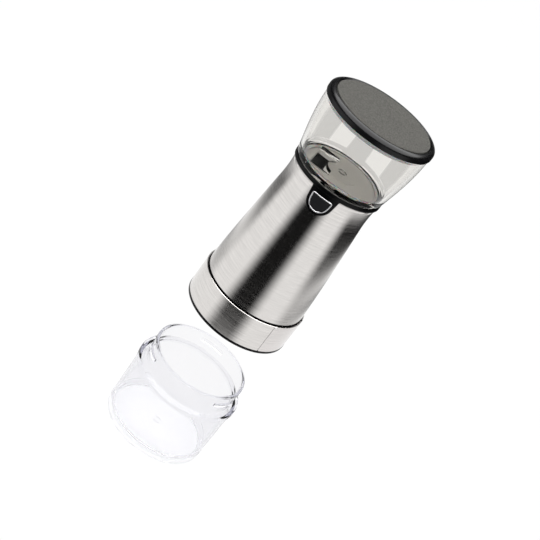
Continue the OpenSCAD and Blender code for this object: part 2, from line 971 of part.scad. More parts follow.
module lower_bush() {
  color("#b08a4a")
    translate([0, 0, mill_z])
      tube(bush_r, shaft_r + bore_fit, lower_bush_z, lower_bush_z + bush_h);
}

// Frame across the chassis that carries the gearbox and the cells
module drive_frame() {
  color("#2f2f32")
    translate([0, 0, mill_z])
      difference() {
        disc(chassis_in_r(gearbox_z) - cover_fit, frame_z, gearbox_z);
        disc(shaft_r + shaft_clear, frame_z - 1, gearbox_z + 1);
        translate([0, 0, frame_z - 1])
          linear_extrude(height = frame_t + 2)
            intersection() {
              port_outline(chute_t + seat_gap, chute_in_r - seat_gap);
              circle(r = waist_in_r - chute_gap + seat_gap);
            }
        for (a = frame_screw_angles)
          rotate([0, 0, a])
            translate([boss_out, 0, frame_z - 1])
              cylinder(r = frame_screw_r + bore_fit, h = frame_t + 2, $fn = 32);
      }
}

module frame_screws() {
  color("#9c9c9e")
    translate([0, 0, mill_z])
      for (a = frame_screw_angles)
        rotate([0, 0, a])
          translate([boss_out, 0, gearbox_z])
            screw(frame_screw_r, frame_head_r, frame_t + screw_l - screw_end);
}

// Power
module battery_cell(i) {
  color("#3d7a4e")
    translate([0, 0, mill_z])
      rotate([0, 0, cell_angles[i]])
        translate([cell_out, 0, cell_z])
          union() {
            cylinder(r = cell_r, h = cell_l - cell_cap_h);
            cylinder(r = cell_cap_r, h = cell_l, $fn = 48);
          }
}

module battery_cell_1() battery_cell(0);
module battery_cell_2() battery_cell(1);
module battery_cell_3() battery_cell(2);

module battery_cradle() {
  color("#26262a")
    translate([0, 0, mill_z])
      union() {
        tube_arc(cradle_out_r, cradle_in_r, gearbox_z, gearbox_z + cradle_t, -cradle_half, 2 * cradle_half);
        tube_arc(cradle_out_r, cradle_in_r, cradle_top - cradle_t, cradle_top,
                 -cradle_half, 2 * cradle_half);
        tube_arc(cradle_out_r, cradle_out_r - cradle_t, gearbox_z, cradle_top, -cradle_half, 2 * cradle_half);
      }
}

module battery_contacts() {
  color("#c7a24b")
    translate([0, 0, mill_z])
      for (a = cell_angles, z = [cell_z - contact_t, cell_z + cell_l])
        rotate([0, 0, a])
          translate([cell_out, 0, z])
            cylinder(r = contact_r, h = contact_t, $fn = 48);
}

module charging_port() {
  color("#b9bcc0")
    translate([0, 0, mill_z + port_z])
      rotate([0, 0, 90])
        difference() {
          translate([socket_back_r, 0, 0])
            round_bar(socket_w, socket_h, socket_h / 2 - eps, socket_d);
          translate([socket_back_r + socket_floor, 0, 0])
            round_bar(socket_w - 2 * socket_wall, socket_h - 2 * socket_wall,
                      socket_h / 2 - socket_wall - eps, socket_d);
        }
}

// Grinding chamber and burrs
module burr_chamber() {
  color("#2c2c2e")
    translate([0, 0, mill_z])
      difference() {
        union() {
          rotate_extrude()
            polygon([
              [chamber_r, ceiling_z + ceiling_t],
              [holder_r + holder_gap, ceiling_z + ceiling_t],
              [chamber_r - chamber_t, frame_z - chamber_rim],
              [chamber_r - chamber_t, frame_z],
              [chamber_r, frame_z]
            ]);
          for (a = frame_screw_angles)
            rotate([0, 0, a])
              translate([boss_out, 0, frame_z - frame_boss_h])
                cylinder(r = screw_boss_r, h = frame_boss_h, $fn = 48);
          for (a = base_screw_angles)
            rotate([0, 0, a])
              translate([boss_out, 0, ceiling_z + ceiling_t + seat_gap])
                cylinder(r = screw_boss_r, h = base_boss_h, $fn = 48);
        }
        for (a = frame_screw_angles)
          rotate([0, 0, a])
            translate([boss_out, 0, frame_z - screw_l])
              cylinder(r = frame_screw_r, h = screw_l + 1, $fn = 32);
        for (a = base_screw_angles)
          rotate([0, 0, a])
            translate([boss_out, 0, ceiling_z])
              cylinder(r = base_screw_r, h = screw_l, $fn = 32);
      }
}

module burr_holder() {
  color("#3a3a3c")
    translate([0, 0, mill_z])
      tube(holder_r, ring_burr_r + slide_fit, holder_z, ceiling_z + ceiling_t + burr_lift + holder_over);
}

module ring_burr() {
  color("#a9a9ad")
    translate([0, 0, mill_z + ring_burr_z])
      difference() {
        rotate_extrude()
          polygon([
            [ring_burr_throat_r, 0],
            [ring_burr_r, 0],
            [ring_burr_r, ring_burr_h],
            [ring_burr_top_r, ring_burr_h],
            [ring_burr_throat_r - burr_slope * (grind_h - burr_edge), grind_h],
            [ring_burr_throat_r, burr_edge]
          ]);
        for (i = [0:burr_grooves - 1])
          rotate([0, 0, i * 360 / burr_grooves])
            translate([0, -groove_w / 2, -1])
              cube([ring_burr_throat_r + groove_d, groove_w, ring_burr_h + 2]);
      }
}

module cone_burr() {
  color("#9a9a9e")
    translate([0, 0, mill_z + cone_burr_z])
      difference() {
        rotate_extrude()
          polygon([
            [shaft_r, 0],
            [cone_burr_r - cone_foot_in, 0],
            [cone_burr_r, cone_edge],
            [cone_burr_top_r, cone_burr_h],
            [shaft_r, cone_burr_h]
          ]);
        for (i = [0:burr_grooves - 1])
          rotate([0, 0, (i + 0.5) * 360 / burr_grooves])
            translate([cone_burr_r - 1, -groove_w / 2, -1])
              rotate([0, -atan((cone_burr_r - cone_burr_top_r) / cone_burr_h), 0])
                cube([4, groove_w, cone_burr_h + 4]);
      }
}

module burr_nut() {
  color("#8c8c90")
    translate([0, 0, mill_z + nut_z])
      difference() {
        cylinder(r = nut_r, h = nut_h, $fn = 6);
        translate([0, 0, -1])
          cylinder(r = shaft_r, h = nut_h + 2);
      }
}

module grind_adjuster() {
  color("#1d1d1f")
    translate([0, 0, mill_z])
      difference() {
        translate([0, 0, adjuster_z])
          linear_extrude(height = adjuster_h)
            union() {
              circle(r = adjuster_r);
              for (i = [0:grip_count - 1])
                rotate([0, 0, i * 360 / grip_count])
                  translate([adjuster_r - grip_in, 0])
                    circle(r = grip_r, $fn = 24);
            }
        disc(holder_r + slide_fit, adjuster_z + adjuster_lip, adjuster_z + adjuster_h + 1);
        disc(adjuster_in_r, adjuster_z - 1, adjuster_z + adjuster_lip + 1);
      }
}

// Foot of the mill
module base_band() {
  color("#c9c7c5")
    translate([0, 0, mill_z])
      difference() {
        rotate_extrude()
          polygon([
            [band_r - skin_t, rim_h],
            [band_r - band_edge, rim_h],
            [band_r, rim_h + band_edge],
            [band_r, band_h - band_edge],
            [band_r - band_edge, band_h],
            [band_r - skin_t, band_h]
          ]);
        panel_cut(panel_seam);
      }
}

// The window of the closing panel, larger all round by grow
module panel_cut(grow) {
  translate([0, 0, (rim_h + band_h) / 2])
    rotate([0, 0, panel_dir])
      round_bar(panel_w + 2 * grow, band_h - rim_h + 2 * eps, panel_corner, far);
}

module band_panel() {
  color("#cdc8c6")
    translate([0, 0, mill_z])
      intersection() {
        tube(band_r, band_r - skin_t, rim_h + seat_gap, band_h - seat_gap);
        translate([0, 0, (rim_h + band_h) / 2])
          rotate([0, 0, panel_dir])
            round_bar(panel_w, band_h - rim_h - 2 * seat_gap, panel_corner, far);
      }
}

module base_rim() {
  color("#121213")
    translate([0, 0, mill_z])
      tube(band_r - rim_in, band_r - skin_t, 0, rim_h);
}

// Socket that takes the jar's neck, with an L-shaped slot for each lug
module jar_socket() {
  entry = lug_arc + lug_entry;
  color("#1a1a1b")
    translate([0, 0, mill_z])
      difference() {
        union() {
          tube(socket_r_out, socket_r, 0, band_h);
          tube(socket_r_out, holder_r, ceiling_z, ceiling_z + ceiling_t);
        }
        for (a = lug_angles) {
          tube_arc(slot_r, socket_r - 1, -1, lug_seat_z + lug_h + slot_fit, a - entry / 2, entry);
          tube_arc(slot_r, socket_r - 1, lug_seat_z - slot_fit, lug_seat_z + lug_h + slot_fit,
                   a - entry / 2, entry + lock_turn);
        }
        for (a = base_screw_angles)
          rotate([0, 0, a])
            translate([boss_out, 0, ceiling_z - 1])
              cylinder(r = base_screw_r + bore_fit, h = ceiling_t + 2, $fn = 32);
      }
}

module base_screws() {
  color("#9c9c9e")
    translate([0, 0, mill_z])
      for (a = base_screw_angles)
        rotate([0, 0, a])
          translate([boss_out, 0, ceiling_z])
            mirror([0, 0, 1])
              screw(base_screw_r, base_head_r, screw_l);
}

// Jar
module jar_seal() {
  color("#f1f1f4", 0.6)
    tube(neck_r - seal_in, neck_in_r, jar_h, jar_h + seal_h);
}

module jar() {
  shoulder_foot_z = shoulder_z - shoulder_h;
  color("#eef0f8", 0.35)
    union() {
      difference() {
        rotate_extrude()
          polygon([
            [0, foot_recess],
            [foot_ring_r - foot_ring_w - foot_recess, foot_recess],
            [foot_ring_r - foot_ring_w, 0],
            [foot_ring_r, 0],
            [jar_foot_r - foot_bevel_w, foot_recess],
            [jar_foot_r, foot_bevel_h],
            [jar_foot_r, jar_foot_h],
            [jar_side_r - side_draft, jar_foot_h + side_draft],
            [jar_side_r, shoulder_foot_z - jar_edge],
            [shoulder_r, shoulder_foot_z],
            [shoulder_r, shoulder_z - jar_edge],
            [shoulder_r - jar_edge, shoulder_z],
            [neck_r - neck_cut, shoulder_z],
            [neck_r - neck_cut, jar_h - rim_ring],
            [neck_r, jar_h - rim_ring + neck_cut],
            [neck_r, jar_h - jar_edge],
            [neck_r - jar_edge, jar_h],
            [neck_in_r, jar_h],
            [neck_in_r, shoulder_z],
            [jar_side_r - jar_wall, shoulder_foot_z],
            [jar_side_r - side_draft - jar_wall, jar_foot_h + side_draft],
            [jar_side_r - floor_corner - jar_wall, jar_floor],
            [0, jar_floor]
          ]);
        translate([0, 0, jar_floor - gate_h])
          difference() {
            cylinder(r = gate_r, h = 1, $fn = 48);
            translate([0, 0, -1])
              cylinder(r = gate_r - gate_w, h = 3, $fn = 48);
          }
      }
      for (a = lug_angles)
        tube_arc(lug_r, neck_r - 2 * neck_cut, lug_z, lug_z + lug_h, a - lug_arc / 2, lug_arc);
    }
}

lid_cap();
lid_pad();
lid_seal();
hopper_cup();
hopper_gasket();
collar_panel();
button_trim();
push_button();
switch_plunger();
micro_switch();
circuit_board();
outer_sleeve();
inner_chassis();
deck_plate();
motor_cover();
feed_chute();
motor_can();
motor_end_cap();
motor_magnets();
motor_armature();
motor_pinion();
motor_plate();
motor_screws();
gearbox_housing();
first_planet_1();
first_planet_2();
first_planet_3();
first_carrier();
second_planet_1();
second_planet_2();
second_planet_3();
output_carrier();
drive_shaft();
upper_bush();
lower_bush();
drive_frame();
frame_screws();
battery_cell_1();
battery_cell_2();
battery_cell_3();
battery_cradle();
battery_contacts();
charging_port();
burr_chamber();
burr_holder();
ring_burr();
cone_burr();
burr_nut();
grind_adjuster();
base_band();
band_panel();
base_rim();
jar_socket();
base_screws();
jar_seal();
jar();
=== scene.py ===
"""Visible pieces, finishes and studio of an electric spice grinder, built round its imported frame."""

import json
import math

import bmesh
import bpy
from bpy.props import FloatProperty, FloatVectorProperty, PointerProperty
from mathutils import Matrix, Vector


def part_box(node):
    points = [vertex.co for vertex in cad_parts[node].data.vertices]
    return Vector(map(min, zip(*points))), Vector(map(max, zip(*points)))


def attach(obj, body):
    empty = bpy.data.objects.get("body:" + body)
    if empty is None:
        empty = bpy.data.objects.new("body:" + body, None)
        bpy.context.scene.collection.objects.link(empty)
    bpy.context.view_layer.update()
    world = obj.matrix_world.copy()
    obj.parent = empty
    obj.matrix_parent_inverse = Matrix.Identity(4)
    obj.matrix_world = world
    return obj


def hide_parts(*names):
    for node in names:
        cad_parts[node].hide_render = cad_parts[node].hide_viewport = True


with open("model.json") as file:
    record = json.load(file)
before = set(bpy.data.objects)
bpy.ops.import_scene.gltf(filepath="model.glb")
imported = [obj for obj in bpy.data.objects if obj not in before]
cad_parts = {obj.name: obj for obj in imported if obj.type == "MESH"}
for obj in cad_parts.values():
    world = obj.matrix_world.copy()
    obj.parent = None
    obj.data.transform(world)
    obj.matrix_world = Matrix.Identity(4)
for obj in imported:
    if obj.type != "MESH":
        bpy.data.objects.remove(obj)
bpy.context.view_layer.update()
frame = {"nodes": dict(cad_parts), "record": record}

bl_info = {
    "name": "Spice grinder",
    "version": (1, 0, 0),
    "blender": (4, 5, 0),
    "location": "View3D > Sidebar > Grinder",
    "description": "Builds the visible pieces, finishes and studio of an electric spice grinder",
    "category": "Object",
}

MM = 0.001
TINY = 1e-7
NEARLY_STRAIGHT = 0.01
AIR = 0.1 * MM  # between neighbours that don't touch
HAIR = 0.02 * MM  # between pieces that lie on each other
CUT = (20 * MM, 60 * MM)  # reach of a cutter through the steel, from the axis
ROOT_BODY = "housing"
TURN_STEPS = 192
STEEL_STEPS = 256
ARC_STEP = math.radians(15)
SHARP = math.radians(35)
WHITE = (1, 1, 1, 1)


def linear(code):
    """The scene colour of a hex code such as 6b6a68."""
    channels = [int(code[i:i + 2], 16) / 255 for i in (0, 2, 4)]
    return tuple(c / 12.92 if c <= 0.04045 else ((c + 0.055) / 1.055) ** 2.4 for c in channels)


def size(label, text, value):
    """A length that the user can set, from a value in millimetres."""
    return FloatProperty(name=label, description=text, default=value * MM, unit="LENGTH", subtype="DISTANCE")


def turn(label, text, degrees):
    """An angle that the user can set."""
    return FloatProperty(name=label, description=text, default=math.radians(degrees), subtype="ANGLE")


def share(label, text, value, high=1.0):
    """A plain number that the user can set."""
    return FloatProperty(name=label, description=text, default=value, min=0.0, max=high)


def paint(label, text, code):
    """A colour that the user can set."""
    return FloatVectorProperty(name=label, description=text, default=linear(code), subtype="COLOR",
                               size=3, min=0.0, max=1.0)


# ---- sizes, colours and studio

class GrinderSizes(bpy.types.PropertyGroup):
    """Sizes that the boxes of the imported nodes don't give."""

    gap: size("Gap", "Air between a clear piece and what it rests on", 0.03)
    lid_shoulder: size("Lid shoulder", "How far in the lid's rounded shoulder reaches", 3.4)
    lid_drop: size("Lid shoulder drop", "Height of the lid's rounded shoulder", 2.6)
    lid_skin: size("Lid skin", "Thickness of the lid under its pad", 1.6)
    lid_plug_wall: size("Lid plug wall", "Wall of the plug under the lid", 2.2)
    seal_reach: size("Lid seal reach", "How far the seal's fins stand out of the plug", 0.55)
    pad_seam: size("Pad seam", "Width of the groove round the lid's pad", 0.9)
    pad_depth: size("Pad depth", "Depth of the pad's seat in the lid", 1.0)
    hopper_foot_r: size("Hopper foot radius", "Outer radius of the hopper at its foot", 28.4)
    hopper_wall: size("Hopper wall", "Wall of the hopper", 2.2)
    hopper_floor: size("Hopper floor", "Thickness of the hopper's floor", 2.0)
    floor_r: size("Hopper floor radius", "Radius of the recess in the hopper's floor", 24.6)
    port_w: size("Feed port width", "Width of the feed port along X", 12)
    port_l: size("Feed port length", "Length of the feed port along Y", 26)
    port_clear: size("Feed port margin", "How far the cup's port opens past the chute", 0.8)
    port_out: size("Feed port reach", "Distance of the port's outer edge from the axis", 18)
    gate_r: size("Gate mark radius", "Radius of the moulding mark in a clear floor", 2.9)
    gate_depth: size("Gate mark depth", "Depth of the moulding mark", 0.5)
    sleeve_taper: size("Sleeve taper", "How much the sleeve tapers in, before its flare", 6.6)
    sleeve_belly: size("Sleeve belly", "How far the sleeve's side bellies out between its ends", 0.46)
    flare_h: size("Flare height", "Height of the flare that turns out to the collar", 17.2)
    flare_out: size("Flare", "How far the flare turns out", 1.9)
    skin: size("Steel skin", "Thickness of the steel skins", 0.7)
    panel_arc: turn("Panel arc", "Arc of the closing panel in the band", 48)
    panel_direction: turn("Panel direction", "Direction of the panel's middle from +X", -24)
    panel_corner: size("Panel corner", "Radius of the panel's corners", 1.6)
    panel_gap: size("Panel gap", "Seam round the closing panel", 0.25)
    band_edge: size("Band edge", "Rounding of the band's edges", 0.5)
    rim_rise: size("Rim", "How far the black rim stands up round the band's foot", 0.4)
    button_r: size("Button radius", "Radius of the round part of the button", 5.3)
    button_flat: size("Button flat", "Height of the button's flat edge above its centre", 2.8)
    side_lean: turn("Button side lean", "Outward lean of the button's straight sides", 7.5)
    button_drop: size("Button drop", "Depth of the button's centre below the top of the sleeve", 6.5)
    button_corner: size("Button corner", "Radius of the button's two corners", 0.5)
    button_play: size("Button play", "Gap between the button and its trim", 0.12)
    trim_w: size("Trim width", "Width of the silver trim", 0.7)
    trim_proud: size("Trim height", "How far the trim stands out of the collar's tab", 0.25)
    border: size("Button border", "Black border round the trim", 1.7)
    tab_proud: size("Tab height", "How far the collar's tab stands out of the sleeve's top", 0.1)
    tab_depth: size("Tab depth", "Thickness of the collar's tab", 2.2)
    jar_foot_h: size("Jar foot height", "Height of the jar's foot ring", 4.6)
    jar_hollow: size("Jar hollow", "Depth of the hollow under the jar's floor", 1.6)
    jar_foot_in: size("Jar foot inset", "How far the foot ring lies inside the jar's side", 0.4)
    jar_side_in: size("Jar side inset", "How far the jar's side lies inside its shoulder ring", 0.8)
    jar_wall: size("Jar wall", "Wall of the jar", 1.8)
    jar_floor: size("Jar floor", "Thickness of the jar's floor", 3.2)
    shoulder_h: size("Jar shoulder", "Height of the jar's shoulder ring", 3.4)
    neck_h: size("Jar neck", "Height of the jar's neck above the shoulder ring", 13.6)
    rim_ring: size("Jar rim", "Height of the ring at the jar's rim", 3.2)
    lug_out: size("Lug reach", "How far a lug stands out of the neck", 1.0)
    lug_h: size("Lug height", "Height of a lug", 2.0)
    lug_drop: size("Lug depth", "Depth of a lug's top below the rim", 4.4)
    lug_arc: turn("Lug arc", "Arc of a lug", 30)


class GrinderColours(bpy.types.PropertyGroup):
    """Colours of the finishes."""

    lid_black: paint("Lid", "Black plastic of the lid", "111112")
    lid_grey: paint("Lid pad", "Matte pad on the lid", "5d5c58")
    black_plastic: paint("Black plastic", "Glossy plastic of the collar and the chassis", "070708")
    button_grey: paint("Button", "Face of the button", "1f1f21")
    silver: paint("Trim", "Polished trim round the button", "f2f2f4")
    steel: paint("Steel", "Brushed steel of the sleeve and the band", "dddad7")
    panel_steel: paint("Panel steel", "Brushed steel of the closing panel", "dedad8")
    deck_grey: paint("Deck", "Satin plastic of the deck and the motor cover", "ecebe8")
    smoke: paint("Hopper", "Tint of the clear hopper", "f4f3f1")
    violet: paint("Jar", "Tint of the clear jar", "fafafb")
    silicone: paint("Silicone", "Translucent seals", "dedee0")


class GrinderStudio(bpy.types.PropertyGroup):
    """Camera, light and floor."""

    camera_reach: size("Camera distance", "Distance from the camera to its aim", 750)
    camera_rise: turn("Camera elevation", "Elevation of the camera above its aim", 27.61)
    camera_roll: turn("Camera roll", "Turn of the camera about its line of sight", 36.85)
    aim_side: size("Aim to the right", "How far the aim lies right of the axis", 0.41)
    aim_height: size("Aim height", "Height of the aim above the floor", 136.04)
    focal: FloatProperty(name="Focal length", description="Focal length of the camera in millimetres",
                         default=85.77)
    world_level: share("World level", "Strength of the light from all round", 0.8, 4.0)
    top_level: share("Top light", "Strength of the light overhead as it shows in gloss", 5.0, 20.0)
    ring_level: share("Dark ring", "Strength of the dark ring round the hopper as it shows in gloss", 0.01)
    ring_r: size("Ring radius", "Radius of the dark ring", 300)
    ring_low: size("Ring bottom", "Height of the dark ring's bottom edge", 265)
    ring_high: size("Ring top", "Height of the dark ring's top edge", 470)
    key_power: FloatProperty(name="Key lamp", description="Power of the main soft lamp", default=4.0,
                             unit="POWER")
    fill_power: FloatProperty(name="Fill lamp", description="Power of the weaker soft lamp", default=1.6,
                              unit="POWER")
    band_w: size("Band width", "Width of the pale bands behind the hopper", 30)
    band_level: share("Band level", "Brightness of the pale bands behind the hopper", 0.75)
    floor_half: size("Floor", "Half the width of the floor", 8000)
    floor_albedo: share("Floor colour", "Diffuse brightness of the floor", 0.8)
    floor_glow: share("Floor white", "Share of plain white in the floor as the camera sees it", 0.86)


# ---- shader nodes

class Wire:
    """A socket that gives a value: arithmetic on it adds Math nodes."""

    def __init__(self, nodes, socket):
        self.nodes = nodes
        self.socket = socket

    def math(self, operation, *values, clamp=False):
        """This value and others through a Math node."""
        inputs = dict(enumerate((self, *values)))
        return self.nodes.add("ShaderNodeMath", inputs, operation=operation, use_clamp=clamp)["Value"]

    def __add__(self, other):
        return self.math("ADD", other)

    def __mul__(self, other):
        return self.math("MULTIPLY", other)

    __rmul__ = __mul__

    def __sub__(self, other):
        return self.math("SUBTRACT", other)

    def __rsub__(self, other):
        return self * -1 + other

    def clamped(self):
        """This value kept from 0 to 1."""
        return self.math("ADD", 0.0, clamp=True)

    def between(self, low, high):
        """0 below low, 1 above high, and a smooth rise between them."""
        inputs = {"Value": self, "From Min": low, "From Max": high}
        return self.nodes.add("ShaderNodeMapRange", inputs, interpolation_type="SMOOTHSTEP")["Result"]


class Made:
    """A node that was added: indexing it gives an output."""

    def __init__(self, nodes, node):
        self.nodes = nodes
        self.node = node

    def __getitem__(self, key):
        return Wire(self.nodes, self.node.outputs[key])


class Nodes:
    """The node tree of a material or a world."""

    def __init__(self, owner):
        owner.use_nodes = True
        self.tree = owner.node_tree
        self.tree.nodes.clear()

    def add(self, kind, inputs=None, **settings):
        """A node of a type, with its settings and with the values or links of its inputs."""
        node = self.tree.nodes.new(kind)
        for key, value in settings.items():
            setattr(node, key, value)
        for key, value in (inputs or {}).items():
            if isinstance(value, Wire):
                self.tree.links.new(value.socket, node.inputs[key])
            else:
                node.inputs[key].default_value = value
        return Made(self, node)

    def mix(self, factor, first, second):
        """A colour between two colours."""
        inputs = {0: factor, 6: rgba(first), 7: rgba(second)}
        return self.add("ShaderNodeMix", inputs, data_type="RGBA")[2]

    def noise(self, across, along, detail=2.0, roughness=0.5):
        """Smooth noise from 0 to 1, with that many waves in a metre across the axis and along it."""
        here = self.add("ShaderNodeTexCoord")["Object"]
        place = self.add("ShaderNodeMapping", {"Vector": here, "Scale": (across, across, along)})["Vector"]
        inputs = {"Vector": place, "Scale": 1.0, "Detail": detail, "Roughness": roughness}
        return self.add("ShaderNodeTexNoise", inputs)["Fac"]

    def bump(self, height, depth, strength):
        """A normal tilted by a height from 0 to 1 that stands for a real depth."""
        inputs = {"Height": height, "Distance": depth, "Strength": strength}
        return self.add("ShaderNodeBump", inputs)["Normal"]

    def split(self, output):
        """The X, Y and Z of one kind of texture coordinate."""
        return self.add("ShaderNodeSeparateXYZ", {"Vector": self.add("ShaderNodeTexCoord")[output]})

    def rays(self):
        """What sort of ray looks, and how far it came."""
        return self.add("ShaderNodeLightPath")

    def glow(self, strength):
        """A shader of plain white light."""
        return self.add("ShaderNodeEmission", {"Color": WHITE, "Strength": strength})["Emission"]

    def blend(self, factor, first, second):
        """A shader between two shaders."""
        return self.add("ShaderNodeMixShader", {0: factor, 1: first, 2: second})["Shader"]

    def end(self, shader, kind="ShaderNodeOutputMaterial", **others):
        """Links a shader to the output, and others such as Volume to its own sockets."""
        self.add(kind, {"Surface": shader, **others})


def rgba(colour):
    """A colour with full alpha, or the link that already gives one."""
    return colour if isinstance(colour, Wire) else (*colour[:3], 1.0)


# ---- finishes

def finish_nodes(name):
    """The empty nodes of a new material, which takes the place of a packed one of the same name."""
    packed = bpy.data.materials.get(name)
    if packed:
        bpy.data.materials.remove(packed)
    return Nodes(bpy.data.materials.new(name))


def surface(nodes, volume=None, **sockets):
    """Ends a material in a Principled shader. Keys are socket names with _ for a space."""
    inputs = {}
    for key, value in sockets.items():
        inputs[key.replace("_", " ")] = rgba(value) if key.endswith(("Color", "Tint")) else value
    inside = {"Volume": volume} if volume else {}
    nodes.end(nodes.add("ShaderNodeBsdfPrincipled", inputs)["BSDF"], **inside)


def scaled(colour, factor):
    """A colour with each channel multiplied."""
    return tuple(min(1.0, c * factor) for c in colour[:3])


def brushed(name, colour):
    """Steel brushed round the axis: hair lines that run across it, each a little lighter or darker."""
    nodes = finish_nodes(name)
    across, along = 70.0, 1500.0
    hair = nodes.noise(across, along, 3.0, 0.65)
    streak = nodes.noise(across * 0.4, along * 0.25)
    cloud = nodes.noise(22.0, 22.0)
    tone = (hair - 0.5) * 1.3 + (streak - 0.5) * 0.05 + (cloud - 0.5) * 0.1 + 0.5
    surface(
        nodes,
        Base_Color=nodes.mix(tone.clamped(), scaled(colour, 0.82), scaled(colour, 1.14)),
        Metallic=1.0,
        Roughness=((hair - 0.5) * 0.16 + 0.17).clamped(),
        Anisotropic=0.7,
        Anisotropic_Rotation=0.25,
        Normal=nodes.bump(hair, 0.004 * MM, 0.35),
    )


def moulded(name, colour, roughness, grain=900.0, depth=0.01, specular=0.5, speckle=0.06, contrast=1.6):
    """Plastic with a fine moulded grain and a faint unevenness of gloss."""
    nodes = finish_nodes(name)
    fine = nodes.noise(grain, grain, 3.0, 0.6)
    cloud = nodes.noise(60.0, 60.0, 3.0)
    tone = ((fine - 0.5) * contrast + (cloud - 0.5) * 0.3 + 0.5).clamped()
    surface(
        nodes,
        Base_Color=nodes.mix(tone, scaled(colour, 1 - speckle), scaled(colour, 1 + speckle)),
        Roughness=((cloud - 0.5) * 0.1 + roughness).clamped(),
        Specular_IOR_Level=specular,
        Normal=nodes.bump(fine, depth * MM, 0.5),
    )


def clear(name, tint, ior, absorbed, mirrored=1.0):
    """Clear moulded plastic with a trace of flow in its surface. Thick places darken: absorbed is the
    share of each colour taken up by a metre, as the exponent of the loss. mirrored dims what the
    surface reflects head on, as a coat against glare does."""
    nodes = finish_nodes(name)
    flow = nodes.noise(70.0, 40.0)
    density = max(absorbed)
    inputs = {"Color": rgba([1 - a / density for a in absorbed]), "Density": density}
    surface(
        nodes,
        nodes.add("ShaderNodeVolumeAbsorption", inputs)["Volume"],
        Base_Color=nodes.mix(flow, scaled(tint, 0.996), tint),
        Roughness=0.0,
        Transmission_Weight=1.0,
        IOR=ior,
        Specular_Tint=(mirrored, mirrored, mirrored),
        Normal=nodes.bump(flow, 0.02 * MM, 0.1),
    )


def metal(name, colour, roughness, grain=700.0, speckle=0.1):
    """Plain worked metal with fine tool marks."""
    nodes = finish_nodes(name)
    marks = nodes.noise(grain, grain * 2.5, 3.0, 0.6)
    surface(
        nodes,
        Base_Color=nodes.mix(marks, scaled(colour, 1 - speckle), scaled(colour, 1 + speckle)),
        Metallic=1.0,
        Roughness=((marks - 0.5) * 0.15 + roughness).clamped(),
        Normal=nodes.bump(marks, 0.006 * MM, 0.4),
    )


def rubber(name, colour):
    """Milky silicone."""
    nodes = finish_nodes(name)
    cloud = nodes.noise(120.0, 120.0)
    surface(
        nodes,
        Base_Color=nodes.mix(cloud, scaled(colour, 0.94), colour),
        Roughness=(cloud * 0.1 + 0.4).clamped(),
        Subsurface_Weight=0.3,
        Subsurface_Scale=1.5 * MM,
    )


def finishes(colours):
    """Makes the material of each of the record's slots, and those of the panel and the jar's seal."""
    moulded("lid_black", colours.lid_black, 0.24, specular=0.22)
    moulded("lid_grey", colours.lid_grey, 0.72, grain=1300.0, depth=0.05, speckle=0.3, specular=0.15,
            contrast=4.0)
    moulded("black_plastic", colours.black_plastic, 0.22, specular=0.12)
    moulded("button_grey", colours.button_grey, 0.42, grain=1400.0, specular=0.12)
    moulded("deck_grey", colours.deck_grey, 0.45, grain=700.0, speckle=0.1, specular=0.3)
    moulded("white_nylon", linear("e6e4de"), 0.5)
    moulded("dark_plastic", linear("29292b"), 0.5)
    moulded("circuit_green", linear("1f6b3a"), 0.4, grain=500.0, speckle=0.15)
    moulded("cell_wrap", linear("3d7a4e"), 0.35, grain=300.0)
    clear("clear_hopper", colours.smoke, 1.24, (7.0, 7.3, 8.5), mirrored=0.3)
    clear("clear_jar", colours.violet, 1.14, (14.0, 14.0, 11.5))
    clear("clear_seal", colours.violet, 1.08, (45.0, 45.0, 33.0))
    rubber("silicone", colours.silicone)
    brushed("brushed_steel", colours.steel)
    brushed("panel_steel", colours.panel_steel)
    metal("silver_trim", colours.silver, 0.16, speckle=0.02)
    metal("motor_steel", linear("b8b8ba"), 0.32)
    metal("magnet", linear("5a5a5c"), 0.5)
    metal("copper", linear("b8733a"), 0.3)
    metal("bright_steel", linear("c4c4c8"), 0.22)
    metal("brass", linear("c8b06a"), 0.3)
    metal("burr_steel", linear("a4a4a8"), 0.38, grain=400.0)


# ---- outlines and meshes

def rounded(corners, arc_step=ARC_STEP):
    """A closed outline of (x, y, fillet) corners as points, with an arc at each fillet."""
    points = []
    for index, (x, y, fillet) in enumerate(corners):
        here = Vector((x, y))
        back = Vector(corners[index - 1][:2]) - here
        ahead = Vector(corners[(index + 1) % len(corners)][:2]) - here
        half = back.angle(ahead) / 2
        if fillet < TINY or half > math.pi / 2 - NEARLY_STRAIGHT:
            points.append(here)
            continue
        fillet = min(fillet, 0.49 * min(back.length, ahead.length) * math.tan(half))
        back.normalize()
        ahead.normalize()
        centre = here + (back + ahead).normalized() * (fillet / math.sin(half))
        start = here + back * (fillet / math.tan(half)) - centre
        end = here + ahead * (fillet / math.tan(half)) - centre
        sweep = -start.angle_signed(end)
        steps = max(2, math.ceil(abs(sweep) / arc_step))
        points += [centre + Matrix.Rotation(sweep * k / steps, 2) @ start for k in range(steps + 1)]
    return points


def bridge(work, ring, after):
    """Faces between two closed rings, or between a ring and one point."""
    count = max(len(ring), len(after))
    for i in range(count):
        j = (i + 1) % count
        corners = [ring[i % len(ring)], ring[j % len(ring)], after[j % len(after)], after[i % len(after)]]
        work.faces.new(list(dict.fromkeys(corners)))


def skin(work, rings, closed=False):
    """Faces from each ring to the next, and from the last to the first where it is closed."""
    for ring, after in zip(rings, rings[1:] + rings[:1] * closed):
        bridge(work, ring, after)


def polar(radius, angle, height):
    """A point at a distance from the axis, in a direction, at a height."""
    return (radius * math.cos(angle), radius * math.sin(angle), height)


def circle(work, radius, height, steps):
    """A ring of vertices round the axis."""
    return [work.verts.new(polar(radius, 2 * math.pi * i / steps, height)) for i in range(steps)]


